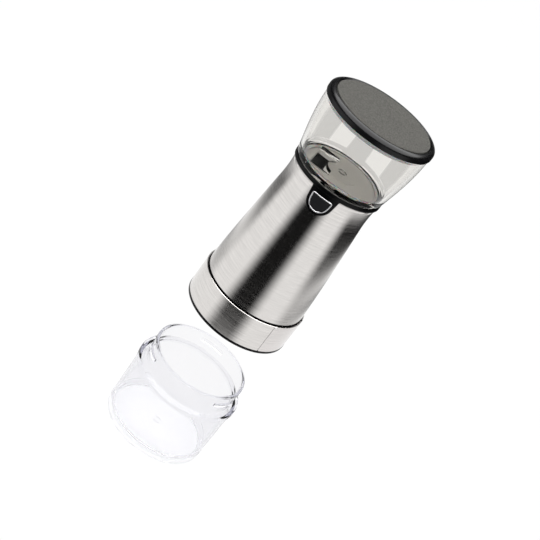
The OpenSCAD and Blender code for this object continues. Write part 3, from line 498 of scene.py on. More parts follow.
def turned(outline, steps=TURN_STEPS):
    """A mesh turned about the axis from an outline of (radius, height) points. It is closed where the
    outline starts and ends on the axis, and joins its last point to its first otherwise."""
    work = bmesh.new()
    rings = [circle(work, *point, steps if point[0] > TINY else 1) for point in outline]
    skin(work, rings, closed=len(rings[0]) > 1)
    return work


def extruded(outline, low, high, place):
    """A prism over an outline of (x, y) points from z low to z high, put in place by a matrix."""
    work = bmesh.new()
    ends = [[work.verts.new(place @ Vector((x, y, z))) for x, y in outline] for z in (low, high)]
    bridge(work, ends[0], ends[1])
    work.faces.new(ends[0])
    work.faces.new(ends[1])
    return work


def new_object(name, work):
    """An object of a bmesh, with its faces turned outwards."""
    bmesh.ops.recalc_face_normals(work, faces=work.faces)
    data = bpy.data.meshes.new(name)
    work.to_mesh(data)
    work.free()
    made = bpy.data.objects.new(name, data)
    bpy.context.scene.collection.objects.link(made)
    return made


def combine(target, work, operation):
    """Changes an object by a boolean with a closed bmesh."""
    other = new_object("other", work)
    change = target.modifiers.new("combine", "BOOLEAN")
    change.operation = operation
    change.solver = "EXACT"
    change.object = other
    apply_modifiers(target)
    bpy.data.objects.remove(other)


def apply_modifiers(target):
    """Makes the object's modifiers part of its mesh."""
    ready = target.evaluated_get(bpy.context.evaluated_depsgraph_get())
    data = bpy.data.meshes.new_from_object(ready)
    target.modifiers.clear()
    target.data = data


def bevel(target, width):
    """Rounds the sharp edges of an object's mesh."""
    change = target.modifiers.new("bevel", "BEVEL")
    change.width = width
    change.segments = 2
    change.limit_method = "ANGLE"
    change.angle_limit = SHARP
    apply_modifiers(target)


def show(target, body, slot, nodes=(), finish=None):
    """Finishes a piece: smooth shading, its material and the body it rides on, and hides the imported nodes
    that it stands for. The material is the slot's own, or the one that finish names."""
    target.data.shade_smooth()
    target.data.set_sharp_from_angle(angle=SHARP)
    if not target.data.has_custom_normals:
        weigh = target.modifiers.new("weigh", "WEIGHTED_NORMAL")
        weigh.keep_sharp = True
    target.data.materials.clear()
    target.data.materials.append(bpy.data.materials[finish or slot])
    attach(target, body)
    if nodes:
        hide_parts(*nodes)


def show_turned(name, corners, body, slot, node, arc_step=ARC_STEP, finish=None):
    """Makes and finishes a piece that is turned from (radius, height, fillet) corners."""
    show(new_object(name, turned(rounded(corners, arc_step))), body, slot, [node], finish)


def tube_normals(target, slope):
    """Gives faces that look along a tube's radius the exact normal there, where slope(z) is dr/dz."""
    along_radius = 0.85
    data = target.data
    normals = [None] * len(data.loops)
    for face in data.polygons:
        for loop in face.loop_indices:
            place = data.vertices[data.loops[loop].vertex_index].co
            radial = Vector((place.x, place.y, 0)).normalized()
            facing = face.normal.dot(radial)
            normals[loop] = face.normal
            if abs(facing) > along_radius:
                true = Vector((radial.x, radial.y, -slope(place.z))).normalized()
                normals[loop] = true * math.copysign(1, facing)
    data.shade_smooth()
    data.normals_split_custom_set(normals)


# ---- outlines of this object

class Grinder:
    """Sizes of the grinder that several pieces share, from the frame and the named sizes."""

    def __init__(self, sizes):
        self.s = sizes
        self.band_low, self.band_high = (v.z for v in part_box("base_band"))
        self.band_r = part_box("base_band")[1].y
        self.sleeve_low, self.sleeve_high = (v.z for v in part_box("outer_sleeve"))
        self.sleeve_foot_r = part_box("outer_sleeve")[1].x
        self.collar_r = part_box("collar_panel")[1].x
        self.collar_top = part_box("collar_panel")[1].z
        self.deck_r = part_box("deck_plate")[1].y
        self.cover_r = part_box("motor_cover")[1].x
        self.button_z = self.sleeve_high - sizes.button_drop
        self.tab_r = sizes.button_r + sizes.trim_w + sizes.button_play + sizes.border
        self.tab_face_r = self.sleeve_r(self.sleeve_high) + sizes.tab_proud

    def sleeve_r(self, z):
        """Outer radius of the sleeve at a height."""
        s = self.s
        t = (z - self.sleeve_low) / (self.sleeve_high - self.sleeve_low)
        flare = max(0.0, (z - self.sleeve_high + s.flare_h) / s.flare_h)
        return (self.sleeve_foot_r - s.sleeve_taper * t + s.sleeve_belly * 4 * t * (1 - t)
                + s.flare_out * flare * flare)

    def sleeve_slope(self, z):
        """Change of the sleeve's radius with height."""
        step = 0.5 * MM
        return (self.sleeve_r(z + step) - self.sleeve_r(z - step)) / (2 * step)


def shield(radius, top, corner, lean, arc_steps=72, top_steps=24, corner_steps=6):
    """A shield: round below, with straight sides that lean out to a flat top edge with round corners.
    It gives (x, z) points from the top edge's left end, clockwise."""
    rise = top - corner
    reach = (radius - corner + rise * math.sin(lean)) / math.cos(lean)

    def arc(x, z, bend, start, sweep, steps):
        angles = [start + sweep * i / steps for i in range(steps + 1)]
        return [(x + bend * math.cos(a), z + bend * math.sin(a)) for a in angles]

    quarter = math.pi / 2 + lean
    return [
        *((-reach + 2 * reach * i / top_steps, top) for i in range(top_steps)),
        *arc(reach, rise, corner, math.pi / 2, -quarter, corner_steps),
        *arc(0, 0, radius, -lean, 2 * lean - math.pi, arc_steps),
        *arc(-reach, rise, corner, math.pi + lean, -quarter, corner_steps)[:-1],
    ]


def on_cylinder(work, outline, radius, height):
    """A ring of vertices that projects (x, z) points onto the front of a cylinder."""
    return [work.verts.new((x, -math.sqrt(radius * radius - x * x), height + z)) for x, z in outline]


def edge_rings(work, outline, face_r, fillet, height, steps=4):
    """Rings that round the edge of a curved face. outline gives its outline at an offset inwards."""
    rings = []
    for k in range(steps + 1):
        a = math.pi / 2 * k / steps
        ring = outline(fillet * (1 - math.cos(a)))
        rings.append(on_cylinder(work, ring, face_r - fillet * (1 - math.sin(a)), height))
    return rings


def plate(outer, inner, face_r, back_r, fillet, height):
    """A curved plate between two outlines, with rounded edges round its face. outer and inner give
    their outline at an offset into the plate."""
    work = bmesh.new()
    skin(work, [
        on_cylinder(work, inner(0.0), back_r, height),
        *edge_rings(work, inner, face_r, fillet, height),
        *reversed(edge_rings(work, outer, face_r, fillet, height)),
        on_cylinder(work, outer(0.0), back_r, height),
    ], closed=True)
    return work


def bar_outline(width, height, corner):
    """A rectangle with round corners, centred, as (x, y) points."""
    w, h = width / 2, height / 2
    return rounded([(-w, -h, corner), (w, -h, corner), (w, h, corner), (-w, h, corner)])


def outward(direction, height):
    """A matrix that stands an outline upright so that its prism runs outwards in a direction."""
    turn_out = Matrix.Rotation(direction, 4, "Z")
    stand = Matrix(((0, 0, 1, 0), (1, 0, 0, 0), (0, 1, 0, 0), (0, 0, 0, 1)))
    return Matrix.Translation((0, 0, height)) @ turn_out @ stand


# ---- pieces

def make_lid(g):
    """The black cap, its grey pad and the seal under it."""
    s = g.s
    low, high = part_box("lid_cap")
    radius = high.x
    rest_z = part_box("hopper_cup")[1].z
    pad_r = radius - s.lid_shoulder - s.pad_seam
    seal_low, seal_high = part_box("lid_seal")
    plug_r = seal_high.x - s.seal_reach
    seat_z = high.z - s.pad_depth
    shoulder = []
    steps = 12
    for k in range(steps + 1):
        a = math.radians(84) * k / steps
        shoulder.append((radius - s.lid_shoulder * (1 - math.cos(a)),
                         high.z - s.lid_drop * (1 - math.sin(a)), 0))
    show_turned("lid_shell", [
        (0, seat_z - s.lid_skin, 0),
        (plug_r - s.lid_plug_wall, seat_z - s.lid_skin, 0.6 * MM),
        (plug_r - s.lid_plug_wall, low.z, 0.4 * MM),
        (plug_r, low.z, 0.4 * MM),
        (plug_r, rest_z + AIR, 0.3 * MM),
        (radius, rest_z + AIR, 0.5 * MM),
        *shoulder,
        (pad_r + AIR, seat_z, 0),
        (0, seat_z, 0),
    ], "lid", "lid_black", "lid_cap", math.radians(9))
    show_turned("lid_pad_disc", [
        (0, seat_z, 0),
        (pad_r, seat_z, 0),
        (pad_r, high.z, 0.35 * MM),
        (0, high.z, 0),
    ], "lid", "lid_grey", "lid_pad")
    fin = 0.35 * MM
    show_turned("lid_seal_ring", [
        (plug_r, seal_low.z, 0),
        (seal_high.x - fin, seal_low.z, 0.15 * MM),
        (seal_high.x, seal_low.z + 0.45 * MM, 0.1 * MM),
        (seal_high.x - fin, seal_low.z + 0.8 * MM, 0.1 * MM),
        (seal_high.x, seal_low.z + 1.25 * MM, 0.1 * MM),
        (seal_high.x - fin, seal_high.z, 0.15 * MM),
        (plug_r, seal_high.z, 0),
    ], "lid", "silicone", "lid_seal")


def gate_mark(s, top):
    """Corners of the round moulding mark in a clear floor, on the way in to the axis."""
    return [
        (s.gate_r, top, 0.1 * MM),
        (s.gate_r - 0.1 * MM, top - s.gate_depth, 0.1 * MM),
        (s.gate_r - 0.8 * MM, top - s.gate_depth, 0.1 * MM),
        (s.gate_r - 0.9 * MM, top, 0.1 * MM),
    ]


def make_hopper(g):
    """The clear cup with its thick foot, feed port and moulding mark."""
    s = g.s
    low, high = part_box("hopper_cup")
    foot = low.z + s.gap
    height = high.z - low.z
    steps = 28

    def outside(z):
        return s.hopper_foot_r + (high.x - s.hopper_foot_r) * math.sin(math.pi / 2 * z / height)

    def wall(start, depth, counts):
        rises = [start + (height - start) * i / steps for i in counts]
        return [(outside(z) - depth, low.z + z, 0) for z in rises]

    lip = s.hopper_floor + 2.4 * MM
    floor_z = low.z + s.hopper_floor
    work = turned(rounded([
        (0, foot, 0),
        (s.hopper_foot_r - 0.3 * MM, foot, 0.3 * MM),
        *wall(0.6 * MM, 0, range(steps)),
        (high.x, high.z, 0.7 * MM),
        (high.x - s.hopper_wall, high.z, 0.7 * MM),
        *wall(lip, s.hopper_wall, range(steps - 1, 0, -1)),
        (outside(lip) - s.hopper_wall, low.z + lip, 0.6 * MM),
        (s.floor_r + 0.5 * MM, floor_z + 0.9 * MM, 0.4 * MM),
        (s.floor_r, floor_z, 0.4 * MM),
        *gate_mark(s, floor_z),
        (0, floor_z, 0),
    ]))
    cup = new_object("hopper_clear", work)
    width = s.port_w + s.port_clear
    port = bar_outline(width, s.port_l + 2 * s.port_clear, 1.0 * MM)
    place = Matrix.Translation((-s.port_out + width / 2, 0, low.z))
    window = new_object("port_window", extruded(port, -1 * MM, s.hopper_floor + 1 * MM, place))
    under, over = low.z - 2 * MM, low.z + 6 * MM
    cover = turned([(0, under), (g.cover_r, under), (g.cover_r, over), (0, over)])
    combine(window, cover, "DIFFERENCE")
    cutter = bmesh.new()
    cutter.from_mesh(window.data)
    bpy.data.objects.remove(window)
    combine(cup, cutter, "DIFFERENCE")
    show(cup, ROOT_BODY, "clear_hopper", ["hopper_cup"])


def make_collar(g):
    """The black collar with the tab that frames the button, and the silver trim."""
    s = g.s
    show_turned("collar_shell", [
        (g.deck_r + AIR, g.sleeve_high, 0.1 * MM),
        (g.collar_r, g.sleeve_high, 0.35 * MM),
        (g.collar_r, g.collar_top, 0.5 * MM),
        (g.deck_r + AIR, g.collar_top, 0.1 * MM),
    ], ROOT_BODY, "black_plastic", "collar_panel")
    back_r = g.tab_face_r - s.tab_depth
    top = g.sleeve_high - g.button_z - HAIR

    def hole(grown):
        """The outline of the button's opening, larger all round."""
        return shield(s.button_r + s.button_play + grown, s.button_flat + s.button_play + grown,
                      s.button_corner + grown, s.side_lean)

    tab = plate(
        lambda inset: shield(g.tab_r - inset, top, 0.05 * MM, s.side_lean),
        lambda inset: hole(s.trim_w + inset),
        g.tab_face_r, back_r, 0.25 * MM, g.button_z,
    )
    show(new_object("collar_tab", tab), ROOT_BODY, "black_plastic")
    trim = plate(
        lambda inset: hole(s.trim_w - inset), hole,
        g.tab_face_r + s.trim_proud, back_r + 0.4 * MM, 0.45 * s.trim_w, g.button_z,
    )
    show(new_object("trim_ring", trim), ROOT_BODY, "silver_trim", ["button_trim"])


def make_button(g):
    """The button, with a shallow dish in its face."""
    s = g.s
    work = bmesh.new()
    face_r = g.tab_face_r + 0.1 * MM
    back_r = g.tab_face_r - s.tab_depth
    fillet, dish = 0.25 * MM, 0.15 * MM

    def outline(inset):
        return shield(s.button_r - inset, s.button_flat - inset, s.button_corner + fillet - inset,
                      s.side_lean)

    rings = [on_cylinder(work, outline(0.0), back_r, g.button_z),
             *edge_rings(work, outline, face_r, fillet, g.button_z)]
    middle = Vector((0, -0.3 * s.button_r))
    shrunk = [Vector(p) for p in outline(fillet)]
    for scale in (0.96, 0.9, 0.8, 0.65, 0.5, 0.35, 0.2, 0.08):
        ring = [middle + (p - middle) * scale for p in shrunk]
        rings.append(on_cylinder(work, ring, face_r - dish * (1 - scale) ** 0.5, g.button_z))
    rings.append(on_cylinder(work, [middle], face_r - dish, g.button_z))
    skin(work, rings)
    work.faces.new(rings[0])
    show(new_object("button_face", work), "button", "button_grey", ["push_button"])


def make_sleeve(g):
    """The steel sleeve, open for the collar's tab and the charging port, and the port's tongue."""
    s = g.s
    steps = 64
    heights = [g.sleeve_low + (g.sleeve_high - g.sleeve_low) * i / steps for i in range(steps + 1)]
    top = g.sleeve_high
    lip_r = g.collar_r - 0.05 * MM
    sleeve = new_object("steel_sleeve", turned([
        *((g.sleeve_r(z), z) for z in heights[:-2]),
        (g.sleeve_r(top) + 0.1 * MM, top - 0.6 * MM),
        (lip_r - 0.1 * MM, top - 0.35 * MM),
        (lip_r, top - 0.15 * MM),
        (lip_r, top),
        *((g.sleeve_r(z) - s.skin, z) for z in reversed(heights)),
    ], STEEL_STEPS))
    notch = shield(g.tab_r + 0.15 * MM, 20 * MM, 0.05 * MM, s.side_lean)
    stand = Matrix.Translation((0, 0, g.button_z)) @ Matrix.Rotation(math.pi / 2, 4, "X")
    combine(sleeve, extruded(notch, *CUT, stand), "DIFFERENCE")
    low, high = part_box("charging_port")
    width, tall = high.x - low.x, high.z - low.z + 0.7 * MM
    place = outward(math.pi / 2, (low.z + high.z) / 2)
    window = bar_outline(width + 1.2 * MM, tall, tall / 2 - TINY)
    combine(sleeve, extruded(window, *CUT, place), "DIFFERENCE")
    tube_normals(sleeve, g.sleeve_slope)
    show(sleeve, ROOT_BODY, "brushed_steel", ["outer_sleeve"])
    bar = bar_outline(0.72 * width, 0.7 * MM, 0.2 * MM)
    tongue = extruded(bar, low.y + 1.6 * MM, high.y - 0.9 * MM, place)
    show(new_object("port_tongue", tongue), ROOT_BODY, "dark_plastic")


def make_band(g):
    """The steel band with its closing panel, and the black rim under it."""
    s = g.s
    middle = (g.band_low + g.band_high) / 2
    tall = g.band_high - g.band_low
    width = 2 * g.band_r * math.sin(s.panel_arc / 2)
    place = outward(s.panel_direction, middle)
    steel_low = g.band_low + s.rim_rise
    band = new_object("steel_band", turned(rounded([
        (g.band_r - s.skin, steel_low, 0),
        (g.band_r, steel_low, 0.15 * MM),
        (g.band_r, g.band_high, s.band_edge),
        (g.band_r - s.skin, g.band_high, 0),
    ]), STEEL_STEPS))
    opening = bar_outline(width + 2 * s.panel_gap, tall + 2 * MM, TINY)
    combine(band, extruded(opening, *CUT, place), "DIFFERENCE")
    tube_normals(band, lambda z: 0.0)
    show(band, ROOT_BODY, "brushed_steel", ["base_band"])
    panel = new_object("steel_panel", turned([
        (g.band_r - s.skin, steel_low + 0.05 * MM), (g.band_r, steel_low + 0.05 * MM),
        (g.band_r, g.band_high - 0.1 * MM), (g.band_r - s.skin, g.band_high - 0.1 * MM)], STEEL_STEPS))
    blank = bar_outline(width, tall - 0.2 * MM, s.panel_corner)
    combine(panel, extruded(blank, *CUT, place), "INTERSECT")
    bevel(panel, 0.3 * MM)
    tube_normals(panel, lambda z: 0.0)
    show(panel, ROOT_BODY, "brushed_steel", ["band_panel"], "panel_steel")
    rim_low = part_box("base_rim")[0]
    show_turned("black_rim", [
        (g.band_r - s.skin, rim_low.z, 0.1 * MM),
        (g.band_r + AIR, rim_low.z, 0.2 * MM),
        (g.band_r + AIR, steel_low - TINY, 0.1 * MM),
        (g.band_r - s.skin, steel_low - TINY, 0),
    ], ROOT_BODY, "black_plastic", "base_rim")


def make_jar(g):
    """The clear jar with its lugs, and the silicone ring on its rim."""
    s = g.s
    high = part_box("jar")[1]
    seal_low, seal_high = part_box("jar_seal")
    shoulder_r = high.x
    side_r = shoulder_r - s.jar_side_in
    foot_r = side_r - s.jar_foot_in
    neck_r = (seal_high - seal_low).x / 2 + 0.2 * MM
    neck_in_r = neck_r - s.jar_wall
    shoulder_z = high.z - s.neck_h
    neck_cut = 0.4 * MM
    floor_z = s.jar_floor
    jar = new_object("jar_clear", turned(rounded([
        (0, s.jar_hollow, 0),
        (foot_r - 2.8 * MM, s.jar_hollow, 0.4 * MM),
        (foot_r - 2.4 * MM, 0, 0.3 * MM),
        (foot_r, 0, 0.3 * MM),
        (foot_r, s.jar_foot_h, 0.4 * MM),
        (side_r - 0.6 * MM, s.jar_foot_h + 0.6 * MM, 0.5 * MM),
        (side_r, shoulder_z - s.shoulder_h - 0.4 * MM, 0.3 * MM),
        (shoulder_r, shoulder_z - s.shoulder_h, 0.3 * MM),
        (shoulder_r, shoulder_z, 0.9 * MM),
        (neck_r - neck_cut, shoulder_z, 0.5 * MM),
        (neck_r - neck_cut, high.z - s.rim_ring, 0.2 * MM),
        (neck_r, high.z - s.rim_ring + 0.4 * MM, 0.2 * MM),
        (neck_r, high.z - HAIR, 0.6 * MM),
        (neck_in_r, high.z - HAIR, 0.6 * MM),
        (neck_in_r, shoulder_z, 1.0 * MM),
        (side_r - s.jar_wall, shoulder_z - s.shoulder_h, 1.5 * MM),
        (side_r - 0.6 * MM - s.jar_wall, s.jar_foot_h + 1.5 * MM, 3.0 * MM),
        (side_r - 2.4 * MM - s.jar_wall, floor_z, 1.6 * MM),
        *gate_mark(s, floor_z),
        (0, floor_z, 0),
    ], math.radians(12))))
    root_r = neck_r - neck_cut - 0.4 * MM
    for direction in (90, 210, 330):
        work = lug(s, root_r, neck_r + s.lug_out, high.z - s.lug_drop, math.radians(direction))
        combine(jar, work, "UNION")
    show(jar, "jar", "clear_jar", ["jar"])
    show_turned("jar_seal_ring", [
        (neck_in_r, seal_low.z + HAIR, 0.2 * MM),
        (seal_high.x, seal_low.z + HAIR, 0.3 * MM),
        (seal_high.x, seal_high.z, 0.3 * MM),
        (neck_in_r, seal_high.z, 0.2 * MM),
    ], "jar_ring", "silicone", "jar_seal", finish="clear_seal")


def lug(s, inner_r, outer_r, top, direction, steps=20):
    """A bayonet lug: a piece of a ring whose top and bottom edges are rounded and whose ends taper."""
    work = bmesh.new()
    low = top - s.lug_h
    fillet = 0.4 * MM
    end_reach, taper = 0.72, 2.4
    rings = []
    for i in range(steps + 1):
        part = i / steps
        reach = inner_r + (outer_r - inner_r) * min(1.0, end_reach + taper * min(part, 1 - part))
        a = direction + s.lug_arc * (part - 0.5)
        section = rounded([(inner_r, low, 0), (reach, low, fillet), (reach, top, fillet), (inner_r, top, 0)])
        rings.append([work.verts.new(polar(r, a, z)) for r, z in section])
    skin(work, rings)
    work.faces.new(rings[0])
    work.faces.new(rings[-1])
    return work


def dress_frame():
    """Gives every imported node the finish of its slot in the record."""
    for row in frame["record"]["subparts"]:
        data = frame["nodes"][row["node"]].data
        data.materials.clear()
        data.materials.append(bpy.data.materials[row["material_slot"]])


# ---- studio

FRONT = math.radians(-90)
LOW_SKY = (0.25, 0.4)
TOP_SKY = (0.5, 0.66)
LAMP_WIDTH = 0.9
KEY_PLACE = (-0.9, -0.7, 1.1)
FILL_PLACE = (1.1, -0.4, 0.8)
CARD_LIFT = 0.5 * MM
CARD_GLOW = 0.004


def side(middle, half, soft, strength=1.0):
    """A side that dark cards cover: its direction from the front, half its width and its soft edge, in
    degrees, and how dark it is."""
    return (*map(math.radians, (middle, half, soft)), strength)


FRONT_SIDE = side(-5, 44, 30)
RIGHT_SIDE = side(126, 60, 30)
LEFT_SIDE = side(-136, 52, 30, 0.85)
# Each card's name, side, nearest distance, length over which it comes to its full, furthest distance
# and strength.
CARDS = (
    ("front_card", FRONT_SIDE, 0.176, 0.02, 7.0, 1.0),
    ("right_card", RIGHT_SIDE, 0.34, 0.13, 7.0, 1.0),
    ("left_card", LEFT_SIDE, 0.36, 0.14, 7.0, 1.0),
    ("right_near_card", RIGHT_SIDE, 0.25, 0.03, 0.35, 0.6),
    ("left_near_card", LEFT_SIDE, 0.25, 0.03, 0.35, 0.6),
)


def make_camera(studio):
    """The camera, rolled about its line of sight."""
    rise, roll = studio.camera_rise, studio.camera_roll
    back = Vector((0, -math.cos(rise), math.sin(rise)))
    right = Vector((1, 0, 0))
    up = back.cross(right)
    across = math.cos(roll) * right + math.sin(roll) * up
    along = -math.sin(roll) * right + math.cos(roll) * up
    place = Vector((studio.aim_side, 0, studio.aim_height)) + back * studio.camera_reach
    lens = bpy.data.cameras.new("camera")
    lens.lens = studio.focal
    lens.clip_start = 0.01
    lens.clip_end = 100
    camera = bpy.data.objects.new("camera", lens)
    turned_to = Matrix((across, along, back)).transposed().to_4x4()
    camera.matrix_world = Matrix.Translation(place) @ turned_to
    bpy.context.scene.collection.objects.link(camera)
    bpy.context.scene.camera = camera


def make_world(studio):
    """A plain white world. In gloss and clear plastic it has a bright light overhead, and behind the
    dark cards gloss shows it dark near the horizon, so that edges stand out."""
    world = bpy.data.worlds.new("studio")
    bpy.context.scene.world = world
    nodes = Nodes(world)
    rays = nodes.rays()
    look = nodes.split("Generated")
    low = 1 - look["Z"].between(*LOW_SKY)
    sheltered = 1
    for middle, half, soft, strength in (FRONT_SIDE, RIGHT_SIDE, LEFT_SIDE):
        towards = look["X"] * math.cos(FRONT + middle) + look["Y"] * math.sin(FRONT + middle)
        inside = towards.between(math.cos(half), math.cos(half - soft))
        sheltered = sheltered * (1 - inside * low * rays["Is Glossy Ray"] * strength)
    top = look["Z"].between(*TOP_SKY) * (studio.top_level - 1) + 1
    camera = rays["Is Camera Ray"]
    gloss = (rays["Is Glossy Ray"] + rays["Is Transmission Ray"]).clamped() * (1 - camera)
    level = camera + gloss * top * sheltered + (1 - camera - gloss) * studio.world_level
    sky = nodes.add("ShaderNodeBackground", {"Color": WHITE, "Strength": level})["Background"]
    nodes.end(sky, "ShaderNodeOutputWorld")


def make_floor(studio):
    """The pale floor. It shows as white and keeps a soft shadow."""
    work = bmesh.new()
    half = studio.floor_half
    work.faces.new([work.verts.new((x, y, 0)) for x, y in
                    ((-half, -half), (half, -half), (half, half), (-half, half))])
    floor = new_object("floor", work)
    nodes = finish_nodes("floor")
    albedo, glow = studio.floor_albedo, studio.floor_glow
    white = (1 - (1 - glow) * albedo * studio.world_level) / glow
    pale = nodes.add("ShaderNodeBsdfDiffuse", {"Color": (albedo, albedo, albedo, 1)})["BSDF"]
    rays = nodes.rays()
    seen = (rays["Is Camera Ray"] + rays["Is Glossy Ray"] + rays["Is Transmission Ray"]).clamped()
    nodes.end(nodes.blend(seen * glow, pale, nodes.glow(white)))
    floor.data.materials.append(bpy.data.materials["floor"])


def add_card(name, work, level, mask_of, gloss=True, clear_parts=False):
    """A studio card that only gloss or clear parts show: a glow of one level where its mask is 1, and
    clear where it is 0. mask_of gives the mask from the card's own coordinates."""
    card = new_object(name, work)
    nodes = finish_nodes(name)
    spot = nodes.split("UV")
    through = nodes.add("ShaderNodeBsdfTransparent")["BSDF"]
    nodes.end(nodes.blend(mask_of(spot["X"], spot["Y"]), through, nodes.glow(level)))
    card.data.materials.append(bpy.data.materials[name])
    card.visible_camera = False
    card.visible_diffuse = False
    card.visible_shadow = False
    card.visible_glossy = gloss
    card.visible_transmission = clear_parts


def map_face(work, corners, spots):
    """A face whose corners have their own coordinates on the card."""
    uv = work.loops.layers.uv.verify()
    for loop, spot in zip(work.faces.new(corners).loops, spots):
        loop[uv].uv = spot


def make_flag(name, place, near, rise, reach, share_of=1.0, beyond=0.0):
    """A dark card on the floor. It spans half to each side of a direction, is soft at its sides, and
    grows from nothing at the distance near to full strength over rise, and fades so before reach.
    Gloss shows it, or clear parts where it has a length beyond: only rays longer than that see it."""
    middle, half, soft, strength = place
    work = bmesh.new()
    across, along = 32, 24
    work.loops.layers.uv.new("card")
    rings = []
    for k in range(along + 1):
        distance = near + (reach - near) * (k / along) ** 2
        angles = [FRONT + middle + half * (2 * i / across - 1) for i in range(across + 1)]
        rings.append((distance, [work.verts.new(polar(distance, a, CARD_LIFT)) for a in angles]))
    for (d0, ring), (d1, after) in zip(rings, rings[1:]):
        for i in range(across):
            left, right = i / across, (i + 1) / across
            map_face(work, (ring[i], ring[i + 1], after[i + 1], after[i]),
                     ((left, d0), (right, d0), (right, d1), (left, d1)))

    def mask(spot, distance):
        from_side = spot.math("MINIMUM", 1 - spot) * (2 * half)
        grown = distance.between(near, near + rise) * (1 - distance.between(reach - rise, reach))
        seen = from_side.between(0.0, soft) * grown * (strength * share_of)
        if beyond:
            seen = seen * spot.nodes.rays()["Ray Length"].between(beyond, beyond + 0.01)
        return seen

    add_card(name, work, CARD_GLOW, mask, gloss=not beyond, clear_parts=bool(beyond))


def make_ring(studio):
    """A dark ring in the air round the hopper. Its clear floor mirrors the ring, so that what lies
    under the floor shows plainly. Light that has met a matte surface goes through it."""
    work = bmesh.new()
    work.loops.layers.uv.new("card")
    steps = 64
    low, high = (circle(work, studio.ring_r, z, steps) for z in (studio.ring_low, studio.ring_high))
    for i in range(steps):
        j = (i + 1) % steps
        map_face(work, (low[i], low[j], high[j], high[i]), ((0, 0), (0, 0), (0, 1), (0, 1)))

    def mask(_, rise):
        unlit = 1 - rise.nodes.rays()["Diffuse Depth"].clamped()
        return rise.between(0.0, 0.12) * (1 - rise.between(0.88, 1.0)) * unlit

    add_card("ring_card", work, studio.ring_level, mask, clear_parts=True)


def make_bands(studio):
    """Pale grey strips on the floor behind, which only the clear parts show."""
    work = bmesh.new()
    work.loops.layers.uv.new("card")
    spots = ((-0.14, 0.3), (0.14, 0.3), (0.14, 0.9), (-0.14, 0.9))
    map_face(work, [work.verts.new((x, y, 0.4 * MM)) for x, y in spots], spots)
    wide = studio.band_w

    def strip(x, *edges):
        """1 between two soft edges, each from where it starts to where it ends, in band widths."""
        a, b, c, d = (edge * wide for edge in edges)
        return x.between(a, b) * (1 - x.between(c, d))

    def mask(x, _):
        strips = (strip(x, -0.54, -0.48, 0.48, 0.54) + strip(x, -4.2, -3.2, -1.6, -1.5)
                  + strip(x, 1.6, 1.7, 3.4, 4.2))
        return strips.clamped()

    add_card("back_bands", work, studio.band_level, mask, gloss=False, clear_parts=True)


def make_lamp(name, power, place, aim):
    """A soft square lamp that looks at a point."""
    data = bpy.data.lights.new(name, "AREA")
    data.energy = power
    data.size = LAMP_WIDTH
    lamp = bpy.data.objects.new(name, data)
    lamp.location = place
    lamp.rotation_mode = "QUATERNION"
    lamp.rotation_quaternion = (aim - Vector(place)).to_track_quat("-Z", "Y")
    bpy.context.scene.collection.objects.link(lamp)


def make_studio(studio):
    """Camera, world, floor, dark cards and lamps."""
    scene = bpy.context.scene
    scene.view_settings.view_transform = "Standard"
    make_camera(studio)
    make_world(studio)
    make_floor(studio)
    for card in CARDS:
        make_flag(*card)
    make_flag("hopper_card", side(-55, 55, 12), 0.13, 0.01, 0.235, beyond=0.235)
    make_ring(studio)
    make_bands(studio)
    aim = Vector((0, 0, studio.aim_height))
    make_lamp("key_lamp", studio.key_power, KEY_PLACE, aim)
    make_lamp("fill_lamp", studio.fill_power, FILL_PLACE, aim)


# ---- add-on

def grinder():
    """The shared sizes of this scene's grinder."""
    return Grinder(bpy.context.scene.grinder_sizes)


class GRINDER_OT_finishes(bpy.types.Operator):
    """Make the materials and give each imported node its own"""

    bl_idname = "grinder.finishes"
    bl_label = "Finishes"

    def execute(self, context):
        finishes(context.scene.grinder_colours)
        dress_frame()
        return {"FINISHED"}


class GRINDER_OT_lid(bpy.types.Operator):
    """Make the lid with its pad and seal"""

    bl_idname = "grinder.lid"
    bl_label = "Lid"

    def execute(self, context):
        make_lid(grinder())
        return {"FINISHED"}


class GRINDER_OT_hopper(bpy.types.Operator):
    """Make the clear hopper"""

    bl_idname = "grinder.hopper"
    bl_label = "Hopper"

    def execute(self, context):
        make_hopper(grinder())
        return {"FINISHED"}


class GRINDER_OT_collar(bpy.types.Operator):
    """Make the collar, its tab and the silver trim"""

    bl_idname = "grinder.collar"
    bl_label = "Collar and trim"

    def execute(self, context):
        make_collar(grinder())
        return {"FINISHED"}


class GRINDER_OT_button(bpy.types.Operator):
    """Make the button"""

    bl_idname = "grinder.button"
    bl_label = "Button"

    def execute(self, context):
        make_button(grinder())
        return {"FINISHED"}


class GRINDER_OT_sleeve(bpy.types.Operator):
    """Make the steel sleeve and the charging port's tongue"""

    bl_idname = "grinder.sleeve"
    bl_label = "Sleeve"

    def execute(self, context):
        make_sleeve(grinder())
        return {"FINISHED"}


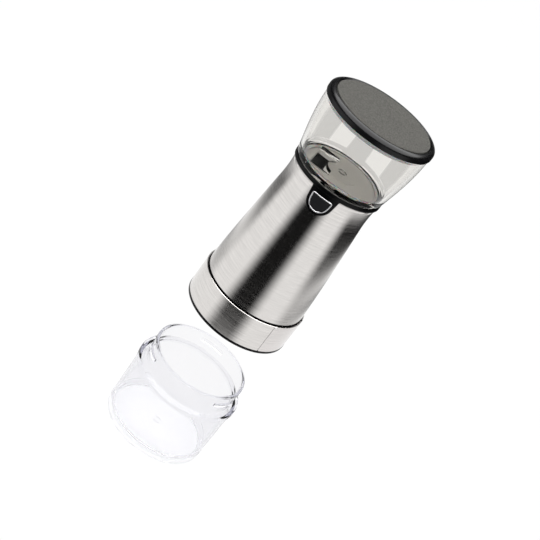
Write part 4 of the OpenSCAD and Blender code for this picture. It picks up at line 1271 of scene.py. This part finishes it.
class GRINDER_OT_band(bpy.types.Operator):
    """Make the steel band, its panel and the rim"""

    bl_idname = "grinder.band"
    bl_label = "Band and rim"

    def execute(self, context):
        make_band(grinder())
        return {"FINISHED"}


class GRINDER_OT_jar(bpy.types.Operator):
    """Make the clear jar and its seal"""

    bl_idname = "grinder.jar"
    bl_label = "Jar"

    def execute(self, context):
        make_jar(grinder())
        return {"FINISHED"}


class GRINDER_OT_studio(bpy.types.Operator):
    """Make the camera, the lights, the cards and the floor"""

    bl_idname = "grinder.studio"
    bl_label = "Studio"

    def execute(self, context):
        make_studio(context.scene.grinder_studio)
        return {"FINISHED"}


class GRINDER_PT_sidebar(bpy.types.Panel):
    """Lists what builds the grinder"""

    bl_idname = "GRINDER_PT_sidebar"
    bl_label = "Spice grinder"
    bl_space_type = "VIEW_3D"
    bl_region_type = "UI"
    bl_category = "Grinder"

    def draw(self, context):
        for maker in MAKERS:
            self.layout.operator(maker.bl_idname)
        for name, cls in GROUPS.items():
            column = self.layout.column()
            for key in cls.__annotations__:
                column.prop(getattr(context.scene, name), key)


GROUPS = {
    "grinder_sizes": GrinderSizes,
    "grinder_colours": GrinderColours,
    "grinder_studio": GrinderStudio,
}
MAKERS = (
    GRINDER_OT_studio, GRINDER_OT_finishes, GRINDER_OT_lid, GRINDER_OT_hopper, GRINDER_OT_collar,
    GRINDER_OT_button, GRINDER_OT_sleeve, GRINDER_OT_band, GRINDER_OT_jar,
)
CLASSES = (*GROUPS.values(), *MAKERS, GRINDER_PT_sidebar)


def register():
    """Adds the classes and the scene's settings."""
    for cls in CLASSES:
        bpy.utils.register_class(cls)
    for name, cls in GROUPS.items():
        setattr(bpy.types.Scene, name, PointerProperty(type=cls))


def unregister():
    """Takes the settings and the classes away."""
    for name in GROUPS:
        delattr(bpy.types.Scene, name)
    for cls in reversed(CLASSES):
        bpy.utils.unregister_class(cls)


def main():
    """Builds everything in order."""
    register()
    for maker in MAKERS:
        getattr(bpy.ops.grinder, maker.bl_idname.split(".")[1])()


if __name__ == "__main__":
    main()
